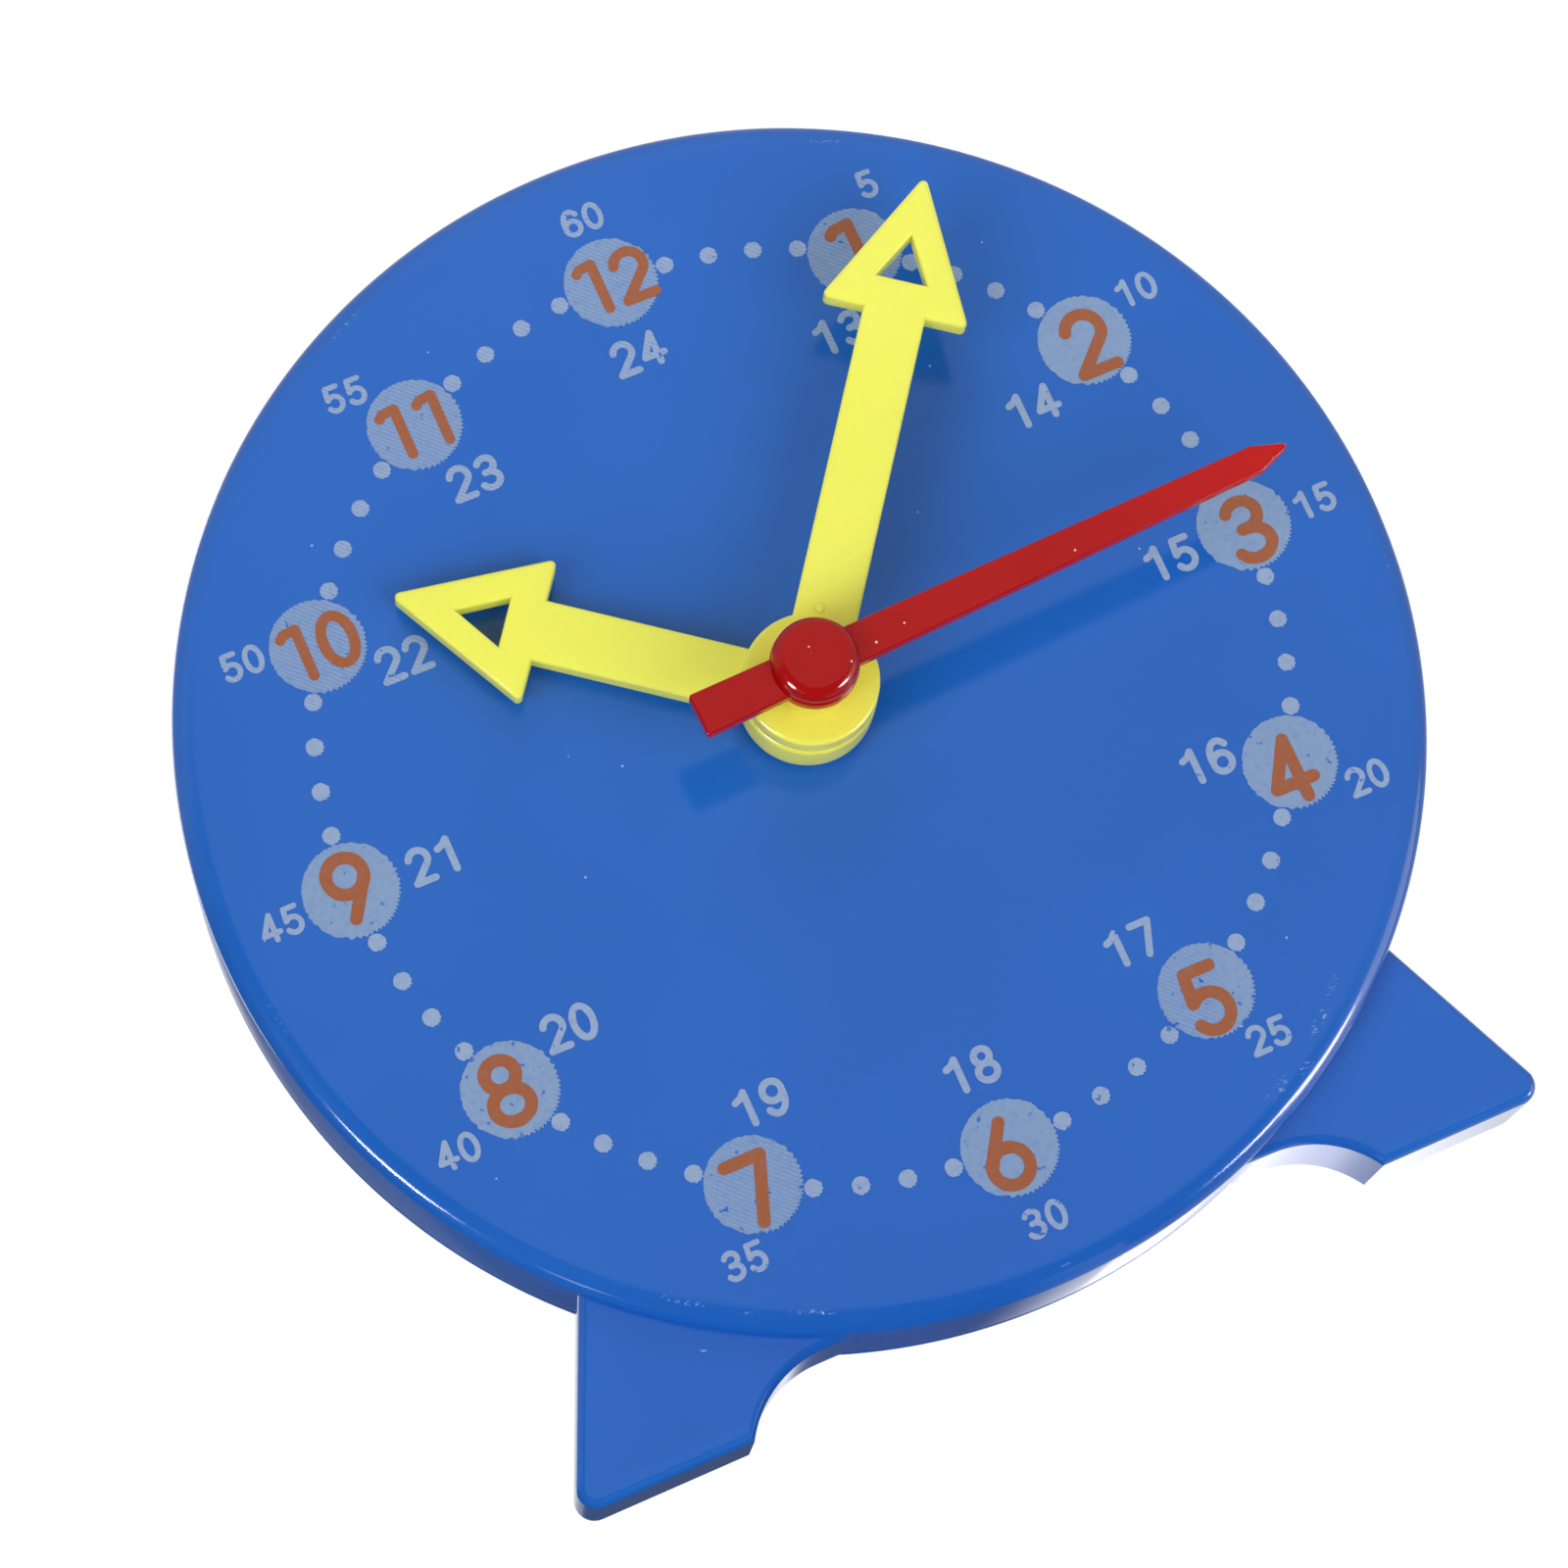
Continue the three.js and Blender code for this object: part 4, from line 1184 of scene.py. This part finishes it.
def floor_material():
    """Pale with the clock's shadow and fading to white away from it, and open from below, where the
    scene's camera is. In reflections it glows white, with a painted shade on the left near the clock."""
    material = bpy.data.materials.new("pale floor")
    material.use_nodes = True
    tree = material.node_tree
    tree.nodes.clear()
    place = node_in(tree, "ShaderNodeTexCoord").outputs["Object"]
    tone = mixed(cloud(place, 3.0, 3.0), (0.90, 0.90, 0.91, 1), (0.93, 0.93, 0.935, 1))
    matt = node("ShaderNodeBsdfDiffuse", {"Color": tone})
    split = axes(place)
    # What mirrored rays see: white on the right and far away, and a painted shade down to 0.08 on the
    # left near the clock.
    away = value_of("DISTANCE", place, (-0.04, 0.06, 0))
    side = over(split["X"], larger(away, 0.001))
    far = times(ramp(away, 0.35, 0.8), ramp(side, -0.2, -0.05))
    shade = larger(ramp(split["X"], -0.006, 0.006), far)
    shade = times_plus(shade, 0.92, 0.08)
    mirrored = glowing(tree, "ShaderNodeEmission", shade)
    clear = node_in(tree, "ShaderNodeBsdfTransparent")
    path = node_in(tree, "ShaderNodeLightPath").outputs
    behind = node_in(tree, "ShaderNodeNewGeometry").outputs["Backfacing"]
    mirror = mirror_ray(path)
    near = math_of("LESS_THAN", path["Ray Length"], 0.003)
    near = times(near, path["Is Diffuse Ray"])
    in_front = math_of("LESS_THAN", split["Y"], -0.006)
    ahead = larger(in_front, math_of("GREATER_THAN", split["X"], 0.006))
    ahead = times(ahead, mirror)
    open_part = larger(larger(behind, near), path["Is Shadow Ray"])
    open_part = larger(open_part, ahead)
    distance = value_of("LENGTH", place)
    lifted = times_plus(ramp(distance, 0.08, 0.6), 0.7, 0.3)
    lifted = times(lifted, path["Is Camera Ray"])
    seen = shaders_mixed(lifted, matt, glowing(tree, "ShaderNodeEmission", 1.0))
    shown = shaders_mixed(mirror, seen, mirrored)
    whole = shaders_mixed(open_part, shown, clear)
    fed(node_in(tree, "ShaderNodeOutputMaterial"), {"Surface": whole})
    return material


def pale_floor():
    """A square just under the clock's soles."""
    built = bmesh.new()
    bmesh.ops.create_grid(built, x_segments=2, y_segments=2, size=1.5)
    mesh = bpy.data.meshes.new("floor")
    built.to_mesh(mesh)
    built.free()
    mesh.transform(Matrix.Translation((0, 0, -0.0002)))
    mesh.materials.append(floor_material())
    floor = link(mesh, "floor")


def surround():
    """White to the camera, dim as a light, and in reflections dark at the low front and left."""
    world = bpy.data.worlds.new("surround")
    world.use_nodes = True
    bpy.context.scene.world = world
    tree = world.node_tree
    tree.nodes.clear()
    path = node_in(tree, "ShaderNodeLightPath").outputs
    split = axes(tree.nodes.new("ShaderNodeTexCoord").outputs["Generated"])
    front = ramp(split["Y"], 0.0, -0.3)
    low = ramp(split["Z"], 0.06, -0.2)
    left = times(ramp(split["X"], -0.01, -0.16), ramp(split["Z"], 0.5, 0.2))
    below = times(times(front, low), ramp(split["X"], 0.75, 0.3))
    dark = larger(below, left)
    shade = minus(1.0, times(dark, 0.85))
    mirrored = glowing(tree, "ShaderNodeBackground", shade)
    white = glowing(tree, "ShaderNodeBackground", 1.0)
    ambient = glowing(tree, "ShaderNodeBackground", 0.22, (0.97, 0.98, 1, 1))
    around = shaders_mixed(mirror_ray(path), ambient, mirrored)
    whole = shaders_mixed(path["Is Camera Ray"], around, white)
    fed(node_in(tree, "ShaderNodeOutputWorld"), {"Surface": whole})


MIDDLE = (0, 0, 0.05)
CAP = (0, -0.016, AXIS_HEIGHT / 1000)
SOFTBOX_WATTS = 4.75


def lamp(name, place, size, watts, unseen="", target=MIDDLE):
    """A disk lamp aimed at a target. It is hidden from the camera, and from the kind of ray that unseen
    names, if any.
    """
    data = bpy.data.lights.new(name, "AREA")
    data.shape = "DISK"
    data.size = size
    data.energy = watts
    made = link(data, name)
    made.location = place
    made.rotation_mode = "QUATERNION"
    made.rotation_quaternion = (Vector(target) - Vector(place)).to_track_quat("-Z", "Y")
    made.visible_camera = False
    made.visible_glossy = unseen != "glossy"
    made.visible_diffuse = unseen != "diffuse"
    return made


def towards(direction, distance, target=MIDDLE):
    return Vector(target) + Vector(direction).normalized() * distance


pale_floor()
surround()
# The front and top softboxes and the rear lamps light the clock. The tubes and the low rear
# softbox only show in its gloss, and the glints in the red cap.
for name, direction, distance, size, watts, unseen in (
    ("left softbox", (-1.09, -1, -0.27), 0.9, 0.65, SOFTBOX_WATTS * 0.95, "glossy"),
    ("right softbox", (0.406, -1, -0.935), 0.9, 0.65, SOFTBOX_WATTS * 1.05, "glossy"),
    ("left tube", (-0.7, -0.4, -0.65), 0.6, 0.07, 0.1, "diffuse"),
    ("right tube", (0.75, -0.45, -0.68), 0.6, 0.12, 1.2, "diffuse"),
    ("wide right tube", (0.85, -0.3, -0.55), 0.6, 0.4, 1.1, "diffuse"),
):
    lamp(name, towards(direction, distance), size, watts, unseen)
for name, direction, watts in (
    ("left glint", (-0.9, -0.45, -0.3), 0.02), ("right glint", (0.5, -0.42, -0.65), 0.014),
):
    glint = lamp(name, towards(direction, 0.15, CAP), 0.05, watts, "diffuse", CAP)
    glint.data.spread = math.radians(30)
lamp("low rear softbox", (0.06, 0.6, -0.15), 0.34, 0.27, "diffuse")
lamp("top softbox", (0.03, -0.13, 0.22), 0.16, 0.14, "glossy", (0.01, 0, 0.09))
lamp("rear left", (-0.5, 0.7, 0.45), 0.7, 2.6)
lamp("rear right", (0.6, 0.6, 0.5), 0.7, 2.6)

# Camera at the photograph's viewing angle

camera_data = bpy.data.cameras.new("camera")
camera_data.lens = 101.35
camera_data.sensor_width = 36
camera_data.clip_start = 0.01
camera = link(camera_data, "camera")
camera.matrix_world = Matrix((
    (0.91192, 0.37616, -0.16403, -0.06131),
    (-0.06162, -0.26967, -0.96098, -0.33796),
    (-0.40572, 0.88644, -0.22274, -0.03145),
    (0, 0, 0, 1),
))
bpy.context.scene.camera = camera
bpy.context.scene.view_settings.view_transform = "Standard"
